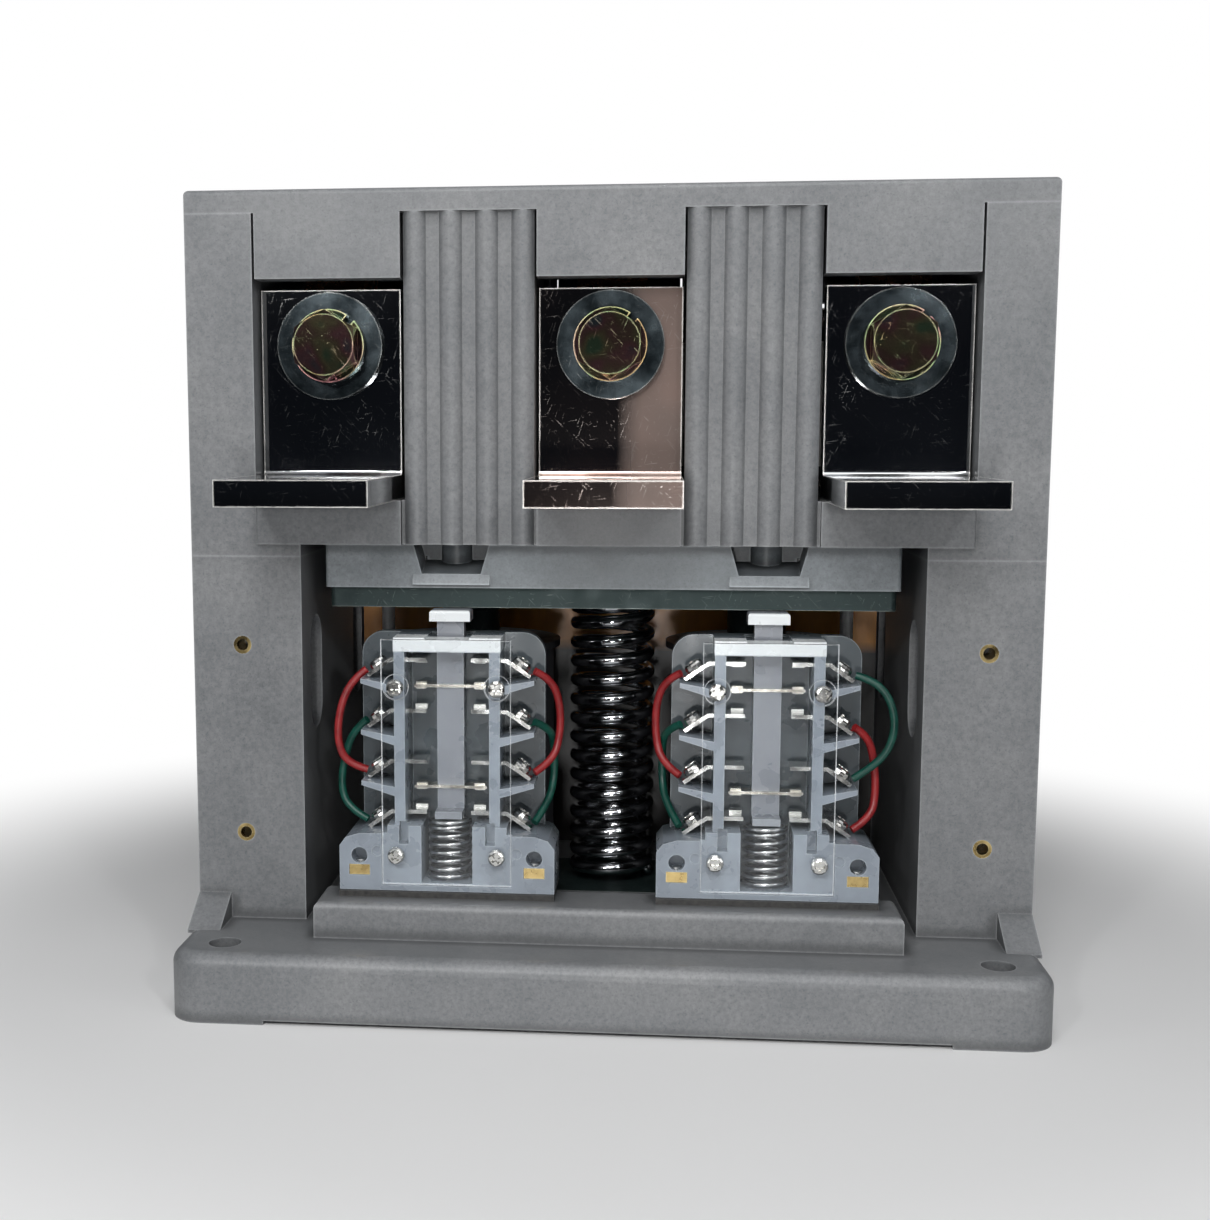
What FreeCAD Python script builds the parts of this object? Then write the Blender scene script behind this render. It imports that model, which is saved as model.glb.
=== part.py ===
import FreeCAD, Part
import math
import os

# Three-pole vacuum contactor in a moulded frame.
# +X runs to the right along the three poles, +Y from the front to the rear, +Z up.
# The origin is the centre of the base, at the underside of its feet.
# Everything is in millimetres.

V = FreeCAD.Vector
UP = V(0, 0, 1)
BACK = V(0, 1, 0)
RIGHT = V(1, 0, 0)
ORIGIN = V(0, 0, 0)

# Moulded frame
wall_depth = 104.0
side_wall = 31.7
flange_reach = 34.7
flange_top = 19.3
corner_radius = 9.0
edge_radius = 4.0
foot_width = 27.0
foot_height = 1.2
floor_rise = 1.2
step_reach = 16.9
step_side_gap = 5.8
step_rise = 10.2
step_edge_radius = 2.0
gusset_width = 9.5
gusset_length = 13.0
gusset_height = 7.5
frame_seam = 125.5
slot_width = 16.0
slot_length = 34.0
slot_below_seam = 35.5
slot_behind_face = 19.0
mount_hole = 9.0
mount_hole_inset_x = 13.8
mount_hole_inset_y = 11.3

# Brass inserts in the front and rear faces
insert_inset = 14.3
insert_above_step = 15.5
insert_below_seam = 25.5
insert_diameter = 5.2
insert_length = 9.0
insert_thread = 3.3

# Upper housing and cover
housing_height = 95.5
cover_thickness = 6.5
strip_rise = 3.5
strip_height = 12.5
strip_proud = 0.9
strip_edge_radius = 0.8
top_edge_radius = 1.5
pocket_width = 41.8
outer_pocket_width = 42.5
pocket_edge = 19.1
pocket_end_gap = 0.6
rib_count = 4
rib_width = 6.4
rib_depth = 1.6
column_joint = 0.9
column_joint_depth = 2.0
tongue_height = 18.0
tongue_depth = 8.0
tongue_gap = 0.7
chamber_clearance = 2.0
channel_clearance_x = 2.0
channel_clearance_y = 3.0
crossbar_clearance = 2.0
cover_recess = 4.0

# Terminals
terminal_width = 40.0
terminal_thickness = 7.0
terminal_set_back = 8.2
terminal_reach = 46.8
terminal_below_cover = 20.5
terminal_bend = 1.2
bolt_below_terminal_top = 15.8
lug_hole = 11.0
lug_hole_from_tip = 20.0

# M10 terminal bolt set
bolt_diameter = 10.0
bolt_head_flats = 17.0
bolt_head_height = 6.4
bolt_hole = 11.0
bolt_thread_length = 7.5
flat_washer_diameter = 30.0
flat_washer_thickness = 2.5
spring_washer_diameter = 20.4
spring_washer_thickness = 2.5
spring_washer_gap = 2.5

# Conductors behind the terminals
conductor_width = 24.0
conductor_block = 8.0
strap_thickness = 5.0
leaf_width = 20.0
leaf_stack = 2.4
leaf_from_collar = 9.8
leaf_bend_rise = 0.3

# Vacuum interrupters
tube_diameter = 46.0
tube_wall = 4.0
cap_height = 4.0
cap_inset = 1.0
contact_diameter = 26.0
contact_thickness = 5.0
fixed_stem = 14.0
moving_stem = 12.0
contact_gap = 2.0
closed_clearance = 0.1
contact_below_middle = 3.75
bellows_outer = 20.0
bellows_inner = 14.0
bellows_wall = 0.5
bellows_folds = 3
running_gap = 0.3
collar_diameter = 20.0
collar_height = 2.0
clamp_height = 4.5
stem_thread = 6.0
stem_nut_flats = 10.0
stem_nut_height = 3.6

# Crosshead
travel = 4.0
beam_side_gap = 6.0
beam_set_back = 5.3
beam_thickness = 12.3
armature_side_gap = 0.9
armature_set_back = 7.5
armature_thickness = 5.8
rest_gap = 0.3
beam_pocket_top = 22.2
beam_pocket_floor = 16.8
beam_pocket_height = 8.5
beam_pocket_slope = 3.2
beam_pocket_depth = 14.0
beam_boss = 9.0
beam_lip = 1.2
beam_lip_height = 2.8
beam_lip_width = 22.0
post_width = 10.0
post_depth = 20.0
crossbar_end = 12.7
crossbar_depth = 24.0
crossbar_thickness = 11.0
crossbar_below_cover = 13.0
crossbar_above_clamp = 5.8
spring_seat_depth = 6.0
spring_seat_diameter = 15.0
armature_screw = 6.0
armature_screw_head = 12.0
armature_screw_inset_x = 25.4
armature_screw_inset_y = 14.5
armature_screw_grip = 8.0

# Springs
wire_sides = 4
opening_wire = 4.0
opening_coil = 26.5
opening_turns = 13
contact_wire = 1.8
contact_coil = 13.0
contact_turns = 2
return_wire = 1.1
return_coil = 12.8
return_turns = 6

# Magnet
core_spacing = 89.0
core_diameter = 18.0
core_edge_radius = 0.8
yoke_end = 17.5
yoke_depth = 38.0
yoke_thickness = 12.0
coil_diameter = 56.0
coil_below_core = 9.9
coil_flange = 2.0
bobbin_wall = 1.5
winding_inset = 2.0

# Rear board
board_side_gap = 0.6
board_below_armature = 0.4
board_thickness = 3.0
board_from_rear = 7.0

# Guide rods of the crosshead
guide_rod = 4.2
guide_clearance = 0.4
guide_inset = 6.4
guide_behind = 18.0
guide_engagement = 7.4
guide_end_clearance = 2.0

# Auxiliary switch blocks
switch_base_width = 61.2
switch_side_gap = 11.85
switch_middle_gap = 28.5
switch_front = 8.5
switch_depth = 22.0
switch_base_height = 16.4
switch_below_armature = 7.3
shoulder_drop = 3.6
shoulder_slope = 2.4
shoulder_in = 1.8
shoulder_reach = 5.7
inner_rise = 2.1
inner_half_width = 17.0
switch_plate_inset = 3.9
switch_plate_thickness = 4.0
switch_plate_corner = 6.5
base_plate_thickness = 1.7
base_plate_overhang = 1.3
rib_offset = 13.5
rib_thickness = 3.0
rib_front_gap = 3.0
bar_height = 4.0
bar_past_rib = 0.2
stem_clearance = 0.5
head_room = 0.6
level_below_top = 7.3
level_above_base = 4.4
clamp_start = 16.4
clamp_run = 6.5
clamp_drop = 4.6
clamp_thickness = 1.1
clamp_width = 8.0
clamp_behind = 7.0
partition_end = 24.6
partition_end_top = 4.5
partition_end_bottom = 5.8
partition_inner_top = 6.4
partition_inner_bottom = 9.2
contact_tip = 8.4
contact_behind = 13.0
contact_rest_gap = 0.3
tip_width = 3.4
tip_height = 0.9
strip_past_tip = 2.0
bridge_width = 5.0
bridge_thickness = 0.8
bridge_button = 0.6
button_width = 3.0
switch_cover_thickness = 1.5
cover_past_rib = 3.3
cover_sill = 1.5
cover_seat_gap = 0.25
window_width = 14.6
window_sill = 2.0
slot_offset = 12.3
slot_opening = 2.8
slot_drop = 3.2
slot_depth = 6.0
cover_screw_past_rib = 0.8
cover_screw_below_base_top = 6.2
cover_screw_below_top = 13.8
cover_screw_grip = 10.0
cover_boss = 7.2
small_head = 5.0
small_head_height = 1.7
small_shank = 2.6
terminal_head = 5.6
terminal_head_height = 2.0
stud_inset = 5.7
stud_diameter = 3.0
stud_clearance = 0.2
stud_depth = 8.0
stud_past_nut = 1.0
nut_side = 5.8
nut_height = 2.9
nut_rise = 4.4
nut_clearance = 0.1
eye_diameter = 4.6
eye_rise = 10.0
eye_depth = 6.0
mark_diameter = 3.0
mark_offset = 19.8
mark_rise = 11.3
mark_depth = 0.5
stem_width = 7.7
stem_thickness = 4.5
stem_behind = 11.5
head_width = 11.6
head_depth = 8.0
head_overhang = 2.0
head_height = 3.1
head_edge_radius = 0.8
foot_below_bridge = 7.9
foot_thickness = 2.0
foot_reach = 4.0
spring_before_middle = 1.5

# Screws and bolts that hold the frame together
frame_bolt = 6.0
frame_bolt_head = 10.0
frame_bolt_head_height = 6.0
frame_bolt_recess = 8.5
frame_bolt_room_wall = 1.5
frame_bolt_inset = 16.0
frame_bolt_spacing_y = 24.0
frame_bolt_grip = 32.5
frame_bolt_socket = 5.0
frame_bolt_socket_depth = 3.0
bolt_clearance = 0.3
cover_screw = 5.0
cover_screw_head = 9.5
cover_screw_inset_x = 9.5
cover_screw_inset_y = 9.0
cover_screw_length = 20.0
cover_screw_cross = 5.0
cover_screw_cross_depth = 1.6
armature_screw_socket = 4.0
armature_screw_socket_depth = 2.0

# Jumper wires
wire_diameter = 2.2
wire_out = 1.3
wire_under_level = 2.9

# Widths, from the two switch blocks out to the side walls
switch_spacing = switch_base_width + switch_middle_gap
bay_width = 2 * switch_base_width + switch_middle_gap + 2 * switch_side_gap
width = bay_width + 2 * side_wall
step_width = bay_width - 2 * step_side_gap
beam_width = bay_width - 2 * beam_side_gap
armature_width = beam_width - 2 * armature_side_gap
board_width = bay_width - 2 * board_side_gap
pocket_outer = width / 2 - pocket_edge
column_outer = pocket_outer - outer_pocket_width
column_width = column_outer - pocket_width / 2
post_spacing = column_outer + pocket_width / 2
pole_pitch = pocket_outer - pocket_end_gap - terminal_width / 2
crossbar_width = 2 * (pole_pitch + crossbar_end)
guide_spacing = armature_width - 2 * guide_inset
yoke_length = core_spacing + 2 * yoke_end
frame_bolt_spacing_x = width - 2 * frame_bolt_inset
insert_spacing_x = width - 2 * insert_inset
mount_hole_spacing_x = width - 2 * mount_hole_inset_x
armature_screw_spacing_x = armature_width - 2 * armature_screw_inset_x

# Depths, from the walls' front face
face = -wall_depth / 2
flange_depth = wall_depth + 2 * flange_reach
mount_hole_spacing_y = flange_depth - 2 * mount_hole_inset_y
plate_front = face + terminal_set_back
plate_back = plate_front + terminal_thickness
washer_front = plate_front - flat_washer_thickness
bolt_seat = washer_front - spring_washer_thickness
armature_depth = wall_depth - 2 * armature_set_back
armature_screw_spacing_y = armature_depth - 2 * armature_screw_inset_y
leaf_start = plate_back + conductor_block / 2
leaf_drop = -collar_diameter / 2 - leaf_from_collar
leaf_arc = (leaf_drop - leaf_start) / 2
switch_face = face - switch_front
switch_back = switch_face + switch_depth
rib_front = switch_face + rib_front_gap
switch_plate_front = switch_back - switch_plate_thickness
stem_front = switch_face + stem_behind
contact_y = switch_face + contact_behind
clamp_y = switch_face + clamp_behind + clamp_width / 2
spring_y = switch_face + switch_depth / 2 - spring_before_middle
stud_y = switch_face + nut_side / 2 + nut_clearance

# Heights, from the feet up to the cover
floor_top = flange_top + floor_rise
step_top = flange_top + step_rise
yoke_bottom = floor_top - yoke_thickness
insert_low = step_top + insert_above_step
insert_high = frame_seam - insert_below_seam
strip_bottom = frame_seam + strip_rise
deck_top = strip_bottom + strip_height
leg_top = deck_top + terminal_thickness
cover_seam = frame_seam + housing_height
top = cover_seam + cover_thickness
terminal_top = cover_seam - terminal_below_cover
bolt_height = terminal_top - bolt_below_terminal_top
beam_top = strip_bottom - rest_gap
beam_bottom = beam_top - beam_thickness
armature_bottom = beam_bottom - armature_thickness
core_top = armature_bottom - travel - rest_gap
coil_top = core_top - coil_below_core
board_top = armature_bottom - travel - board_below_armature
guide_top = armature_bottom + guide_engagement
guide_hole_top = guide_top + travel + guide_end_clearance
crossbar_bottom = cover_seam - crossbar_below_cover
crossbar_top = crossbar_bottom + crossbar_thickness
clamp_top = crossbar_bottom - crossbar_above_clamp
leaf_top = clamp_top - clamp_height
leaf_bottom = leaf_top - leaf_stack
leaf_rise = leaf_top + leaf_bend_rise
cap_top = leaf_bottom - collar_height - contact_gap - running_gap
tube_top = cap_top - cap_height
strap_top = deck_top + strap_thickness
tube_bottom = strap_top + cap_height
fixed_contact_top = (tube_bottom + tube_top) / 2 - contact_below_middle
moving_contact_bottom = fixed_contact_top + contact_gap + closed_clearance
frame_bolt_top = frame_seam + frame_bolt_grip

# Heights of a switch block
block_bottom = step_top + base_plate_thickness
base_top = block_bottom + switch_base_height
switch_top = armature_bottom - switch_below_armature
level_high = switch_top - level_below_top
level_low = base_top + level_above_base
level_step = (level_high - level_low) / 3
levels = [level_high - row * level_step for row in range(4)]
bridge_rise = clamp_thickness + tip_height + contact_rest_gap + travel + bridge_button
bridge_heights = [levels[1] + bridge_rise, levels[3] + bridge_rise]
plunger_top = armature_bottom - rest_gap
plunger_foot = bridge_heights[1] - foot_below_bridge
nut_bottom = block_bottom + nut_rise
stud_top = nut_bottom + nut_height + stud_past_nut
cover_screw_low = base_top - cover_screw_below_base_top
cover_screw_high = switch_top - cover_screw_below_top

# Widths of a switch block, from its centre line
clamp_end = clamp_start + clamp_run
clamp_angle = math.atan2(clamp_drop, clamp_run)
stud_spacing = switch_base_width - 2 * stud_inset
switch_plate_width = switch_base_width - 2 * switch_plate_inset
cover_screw_spacing = 2 * (rib_offset + cover_screw_past_rib)
switch_cover_width = 2 * (rib_offset + rib_thickness / 2 + cover_past_rib)
bar_width = 2 * (rib_offset + rib_thickness / 2 + bar_past_rib)
bridge_length = 2 * (contact_tip + strip_past_tip)
wire_start = clamp_end + wire_out

pole_x = [-pole_pitch, 0.0, pole_pitch]
pole_names = ["left", "middle", "right"]
side_signs = [-1, 1]
side_names = ["left", "right"]


def box(x0, x1, y0, y1, z0, z1):
    return Part.makeBox(x1 - x0, y1 - y0, z1 - z0, V(x0, y0, z0))


def block(length, depth, z0, z1, x=0.0, y=0.0):
    return box(x - length / 2, x + length / 2, y - depth / 2, y + depth / 2, z0, z1)


def rod(diameter, z0, z1, x=0.0, y=0.0):
    return Part.makeCylinder(diameter / 2, z1 - z0, V(x, y, z0), UP)


def ring(outer, inner, z0, z1, x=0.0, y=0.0):
    return rod(outer, z0, z1, x, y).cut(rod(inner, z0, z1, x, y))


def level_rod(diameter, y0, y1, x, z):
    return Part.makeCylinder(diameter / 2, y1 - y0, V(x, y0, z), BACK)


def prism(points, direction):
    wire = Part.makePolygon(points + [points[0]])
    return Part.Face(wire).extrude(direction)


def slab_xz(points, y0, y1):
    return prism([V(x, y0, z) for x, z in points], V(0, y1 - y0, 0))


def slab_yz(points, x0, x1):
    return prism([V(x0, y, z) for y, z in points], V(x1 - x0, 0, 0))


def hexagon_prism(flats, height, place, direction):
    radius = flats / math.sqrt(3)
    corners = []
    for step in range(6):
        angle = math.radians(60 * step + 30)
        corners.append(V(radius * math.cos(angle), radius * math.sin(angle), 0))
    solid = prism(corners, V(0, 0, height))
    turn = FreeCAD.Rotation(UP, direction)
    solid.Placement = FreeCAD.Placement(place, turn)
    return solid


def to_rear(shape):
    return shape.mirror(ORIGIN, BACK)


def to_side(shape, sign):
    if sign > 0:
        return shape
    return shape.mirror(ORIGIN, RIGHT)


def both_ends(shape):
    return [shape, to_rear(shape)]


def four_corners(shape):
    ends = both_ends(shape)
    return ends + [to_side(end, -1) for end in ends]


def joined(shapes):
    result = shapes[0]
    if len(shapes) > 1:
        result = result.fuse(shapes[1:])
    return result.removeSplitter()


def round_edges(shape, radius, wanted):
    edges = [edge for edge in shape.Edges if wanted(edge)]
    return shape.makeFillet(radius, edges)


def is_upright(edge):
    box_of_edge = edge.BoundBox
    return box_of_edge.XLength < 0.01 and box_of_edge.YLength < 0.01


def lies_at_height(edge, z):
    box_of_edge = edge.BoundBox
    return box_of_edge.ZLength < 0.01 and abs(box_of_edge.ZMin - z) < 0.01


def coil_spring(wire_size, coil_size, turns, z0, z1, x, y):
    """A compression spring with one closed turn at each end, its wire a many-sided section."""
    radius = (coil_size - wire_size) / 2
    low = z0 + wire_size / 2
    high = z1 - wire_size / 2
    closed = wire_size * 1.02
    open_pitch = (high - low - 2 * closed) / turns
    edges = []
    height = low
    for pitch, count in ((closed, 1), (open_pitch, turns), (closed, 1)):
        helix = Part.makeHelix(pitch, pitch * count, radius)
        helix.translate(V(0, 0, height))
        edges += helix.Edges
        height += pitch * count
    path = Part.Wire(edges)
    corners = []
    for step in range(wire_sides + 1):
        angle = 2 * math.pi * step / wire_sides
        corners.append(V(radius + wire_size / 2 * math.cos(angle), 0, low + wire_size / 2 * math.sin(angle)))
    spring = path.makePipeShell([Part.makePolygon(corners)], True, True)
    spring.translate(V(x, y, 0))
    return spring


# Frame

def base_frame():
    """Lower moulding: flange, feet, front and rear step, side walls with oblong windows."""
    flange = round_edges(block(width, flange_depth, 0, flange_top), corner_radius, is_upright)
    flange = round_edges(flange, edge_radius, lambda edge: lies_at_height(edge, flange_top))
    step = block(step_width, wall_depth + 2 * step_reach, flange_top - 1, step_top)
    step = round_edges(step, step_edge_radius, lambda edge: lies_at_height(edge, step_top))
    wall = box(bay_width / 2, width / 2, face, -face, flange_top - edge_radius, frame_seam)
    window = oblong_window()
    for part in both_ends(window):
        wall = wall.cut(part)
    gusset = slab_yz([(face, flange_top - 1), (face - gusset_length, flange_top - 1),
                      (face - gusset_length, flange_top), (face, flange_top + gusset_height)],
                     width / 2 - gusset_width, width / 2)
    sides = [wall] + both_ends(gusset)
    frame = joined([flange, step] + sides + [to_side(part, -1) for part in sides])
    frame = frame.cut(block(bay_width, wall_depth, floor_top, frame_seam))
    frame = frame.cut(block(width - 2 * foot_width, flange_depth, -1, foot_height))
    frame = frame.cut(block(yoke_length + 2 * running_gap, yoke_depth + 2 * running_gap,
                            yoke_bottom, floor_top))
    hole = rod(mount_hole, -1, flange_top + 1, mount_hole_spacing_x / 2, mount_hole_spacing_y / 2)
    cuts = four_corners(hole)
    cuts += insert_shapes(insert_diameter)
    cuts += frame_bolt_room()
    cuts += [rod(stud_diameter, step_top - stud_depth, step_top + 1, x, y) for x, y in stud_places()]
    return frame.cut(cuts)


def oblong_window():
    """Upright oblong opening right through a side wall."""
    y = face + slot_behind_face
    half = slot_width / 2
    reach = (slot_length - slot_width) / 2
    z = frame_seam - slot_below_seam
    x0 = bay_width / 2 - 1
    length = side_wall + 2
    window = Part.makeBox(length, slot_width, 2 * reach, V(x0, y - half, z - reach))
    for end in (z - reach, z + reach):
        window = window.fuse(Part.makeCylinder(half, length, V(x0, y, end), RIGHT))
    return window.removeSplitter()


def insert_shapes(diameter):
    """Places of the eight inserts, as plain rods of the given diameter."""
    rods = []
    for z in (insert_low, insert_high):
        rods += four_corners(level_rod(diameter, face, face + insert_length, insert_spacing_x / 2, z))
    return rods


def threaded_inserts():
    inserts = []
    for outer, inner in zip(insert_shapes(insert_diameter), insert_shapes(insert_thread)):
        inserts.append(outer.cut(inner))
    return inserts


def frame_bolt_places():
    return [(sx * frame_bolt_spacing_x / 2, sy * frame_bolt_spacing_y / 2)
            for sx in side_signs for sy in side_signs]


def frame_bolt_room():
    """Counterbored holes for the four long bolts through the side walls."""
    room = []
    for x, y in frame_bolt_places():
        room.append(rod(frame_bolt_head + 2 * frame_bolt_room_wall, -1, frame_bolt_recess, x, y))
        room.append(rod(frame_bolt + 2 * bolt_clearance, 0, frame_seam + 1, x, y))
    return room


def frame_bolts():
    """Four long socket head bolts that draw the upper housing down on the side walls."""
    bolts = []
    for x, y in frame_bolt_places():
        head_bottom = frame_bolt_recess - frame_bolt_head_height
        head = rod(frame_bolt_head, head_bottom, frame_bolt_recess, x, y)
        socket = hexagon_prism(frame_bolt_socket, frame_bolt_socket_depth, V(x, y, head_bottom), UP)
        shank = rod(frame_bolt, frame_bolt_recess - 1, frame_bolt_top, x, y)
        bolts.append(joined([head, shank]).cut(socket))
    return bolts


# Upper housing and cover

def rib_face(x0, sign):
    """Rounded ribs on a column's face, from the groove floor out to the rib crests."""
    groove = (column_width - rib_count * rib_width) / (rib_count - 1)
    bottom = face + rib_depth
    ribs = []
    for index in range(rib_count):
        left = x0 + index * (rib_width + groove)
        right = left + rib_width
        outline = [Part.LineSegment(V(right, bottom, 0), V(right, bottom + 0.5, 0)),
                   Part.LineSegment(V(right, bottom + 0.5, 0), V(left, bottom + 0.5, 0)),
                   Part.LineSegment(V(left, bottom + 0.5, 0), V(left, bottom, 0)),
                   Part.Arc(V(left, bottom, 0), V((left + right) / 2, face, 0), V(right, bottom, 0))]
        outline_wire = Part.Wire([curve.toShape() for curve in outline])
        rib = Part.Face(outline_wire).extrude(V(0, 0, cover_seam - strip_bottom))
        rib.translate(V(0, 0, strip_bottom))
        ribs.append(rib)
    if sign > 0:
        return ribs
    return [to_rear(rib) for rib in ribs]


def column_start(sign):
    inner = pocket_width / 2
    if sign > 0:
        return inner
    return -inner - column_width


def upper_housing():
    """Upper moulding: deck, side walls, ribbed hollow columns between the poles."""
    body = block(width, wall_depth, strip_bottom, cover_seam)
    rim = box(bay_width / 2, width / 2, face, -face, frame_seam, strip_bottom + 1)
    strip = block(2 * pocket_outer, wall_depth + 2 * strip_proud, strip_bottom, deck_top)
    strip = round_edges(strip, strip_edge_radius, is_upright)
    body = joined([body, rim, to_side(rim, -1), strip])
    cuts = []
    for x in pole_x:
        cuts.append(rod(tube_diameter + 2 * chamber_clearance, deck_top, cover_seam + 1, x, 0))
    cuts.append(box(column_outer, pocket_outer, face - 2, -face + 2, deck_top, cover_seam + 1))
    cuts.append(box(-pocket_outer, -column_outer, face - 2, -face + 2, deck_top, cover_seam + 1))
    cuts.append(block(pocket_width, wall_depth + 4, deck_top, cover_seam + 1))
    cuts.append(block(crossbar_width + 2 * crossbar_clearance, crossbar_depth + 2 * crossbar_clearance,
                      crossbar_bottom - travel - crossbar_clearance, cover_seam + 1))
    for sign in side_signs:
        x = sign * post_spacing / 2
        cuts.append(block(post_width + 2 * channel_clearance_x, post_depth + 2 * channel_clearance_y,
                          strip_bottom - 1, cover_seam + 1, x))
        start = column_start(sign)
        for shave in both_ends(box(start, start + column_width, face - 2, face + rib_depth,
                                   strip_bottom - 1, cover_seam + 1)):
            cuts.append(shave)
    body = body.cut(cuts)
    ribs = []
    for sign in side_signs:
        for end in side_signs:
            ribs += rib_face(column_start(sign), -end)
    body = joined([body] + ribs)
    grooves = []
    for sign in side_signs:
        start = column_start(sign)
        for x in (start - column_joint, start + column_width):
            groove = box(x, x + column_joint, face - 2, face + column_joint_depth,
                         strip_bottom - 1, deck_top + 1)
            grooves += both_ends(groove)
    for x, y in frame_bolt_places():
        grooves.append(rod(frame_bolt, frame_seam - 1, frame_bolt_top, x, y))
    grooves += cover_screw_shanks()
    return body.cut(grooves)


def cover_screw_places():
    x = width / 2 - cover_screw_inset_x
    y = wall_depth / 2 - cover_screw_inset_y
    return [(sx * x, sy * y) for sx in side_signs for sy in side_signs]


def cover_screw_shanks():
    return [rod(cover_screw, top - cover_screw_length, top, x, y) for x, y in cover_screw_places()]


def cover_screws():
    """Four countersunk screws that hold the cover, flush with its top."""
    screws = []
    for x, y in cover_screw_places():
        screws.append(cover_screw_shape(x, y).cut(cross_recess(x, y, top, cover_screw_cross, cover_screw_cross_depth)))
    return screws


def cover_screw_shape(x, y):
    cone_height = (cover_screw_head - cover_screw) / 2
    head = Part.makeCone(cover_screw / 2, cover_screw_head / 2, cone_height, V(x, y, top - cone_height), UP)
    shank = rod(cover_screw, top - cover_screw_length, top - cone_height + 0.2, x, y)
    return joined([head, shank])


def cross_recess(x, y, z, length, depth):
    """Cross recess of a screw head that faces up."""
    arm = length / 5
    first = block(length, arm, z - depth, z + 1, x, y)
    second = block(arm, length, z - depth, z + 1, x, y)
    return first.fuse(second)


def top_cover():
    """Cover slab whose front and rear tongues drop between the columns."""
    slab = block(width, wall_depth, cover_seam, top)
    slab = round_edges(slab, top_edge_radius, lambda edge: lies_at_height(edge, top))
    tongues = []
    spans = [(-pocket_outer, -column_outer), (-pocket_width / 2, pocket_width / 2),
             (column_outer, pocket_outer)]
    for x0, x1 in spans:
        tongue = box(x0 + tongue_gap, x1 - tongue_gap, face, face + tongue_depth,
                     cover_seam - tongue_height, cover_seam + 1)
        tongues += both_ends(tongue)
    cover = joined([slab] + tongues)
    recess = block(crossbar_width + 2 * crossbar_clearance, crossbar_depth + 2 * crossbar_clearance,
                   cover_seam - 1, cover_seam + cover_recess)
    return cover.cut([recess] + [cover_screw_shape(x, y) for x, y in cover_screw_places()])


# Terminals and their fasteners

def terminal(x):
    """Bent terminal: an upright plate with the bolt, and a level leg with the cable lug's hole."""
    tip = face - terminal_reach
    x0 = x - terminal_width / 2
    x1 = x + terminal_width / 2
    outline = [(tip, deck_top), (plate_back, deck_top), (plate_back, terminal_top),
               (plate_front, terminal_top), (plate_front, leg_top), (tip, leg_top)]
    bracket = slab_yz(outline, x0, x1)
    inside = [edge for edge in bracket.Edges
              if lies_at_height(edge, leg_top) and abs(edge.BoundBox.YMin - plate_front) < 0.01
              and edge.BoundBox.YLength < 0.01]
    outside = [edge for edge in bracket.Edges
               if lies_at_height(edge, deck_top) and abs(edge.BoundBox.YMin - plate_back) < 0.01
               and edge.BoundBox.YLength < 0.01]
    bracket = bracket.makeFillet(terminal_bend, inside + outside)
    hole = level_rod(bolt_hole, plate_front - 1, plate_back + 1, x, bolt_height)
    lug = rod(lug_hole, deck_top - 1, leg_top + 1, x, tip + lug_hole_from_tip)
    return bracket.cut([hole, lug])


def flat_washers():
    washers = []
    for x in pole_x:
        disc = level_rod(flat_washer_diameter, washer_front, plate_front, x, bolt_height)
        washers += both_ends(disc.cut(level_rod(bolt_hole, washer_front - 1, plate_front + 1, x, bolt_height)))
    return washers


def spring_washers():
    """Split spring washers, each with its gap at the upper right."""
    washers = []
    for x in pole_x:
        disc = level_rod(spring_washer_diameter, bolt_seat, washer_front, x, bolt_height)
        disc = disc.cut(level_rod(bolt_diameter + 0.4, bolt_seat - 1, washer_front + 1, x, bolt_height))
        gap = box(-spring_washer_gap / 2, spring_washer_gap / 2, bolt_seat - 1, washer_front + 1,
                  0, spring_washer_diameter)
        gap.rotate(ORIGIN, BACK, 40)
        gap.translate(V(x, 0, bolt_height))
        washers += both_ends(disc.cut(gap))
    return washers


def terminal_bolts():
    """Hexagon head bolts with a chamfered head."""
    bolts = []
    for x in pole_x:
        head = hexagon_prism(bolt_head_flats, bolt_head_height, V(x, bolt_seat, bolt_height), V(0, -1, 0))
        cone = Part.makeCone(bolt_head_flats / 2 + 4.5, bolt_head_flats / 2 - 0.5, bolt_head_height + 0.6,
                             V(x, bolt_seat, bolt_height), V(0, -1, 0))
        head = head.common(cone)
        shank = level_rod(bolt_diameter, bolt_seat - 1, plate_back + bolt_thread_length, x, bolt_height)
        bolts += both_ends(joined([head, shank]))
    return bolts


# Conductors inside

def conductor_block_solid(x):
    """Threaded copper block that the bolt pulls against the plate's back."""
    half = conductor_width / 2
    solid = box(x - half, x + half, plate_back, plate_back + conductor_block,
                bolt_height - half, bolt_height + half - 2)
    return solid.cut(level_rod(bolt_diameter, plate_back - 1, plate_back + conductor_block + 1, x, bolt_height))


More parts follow.
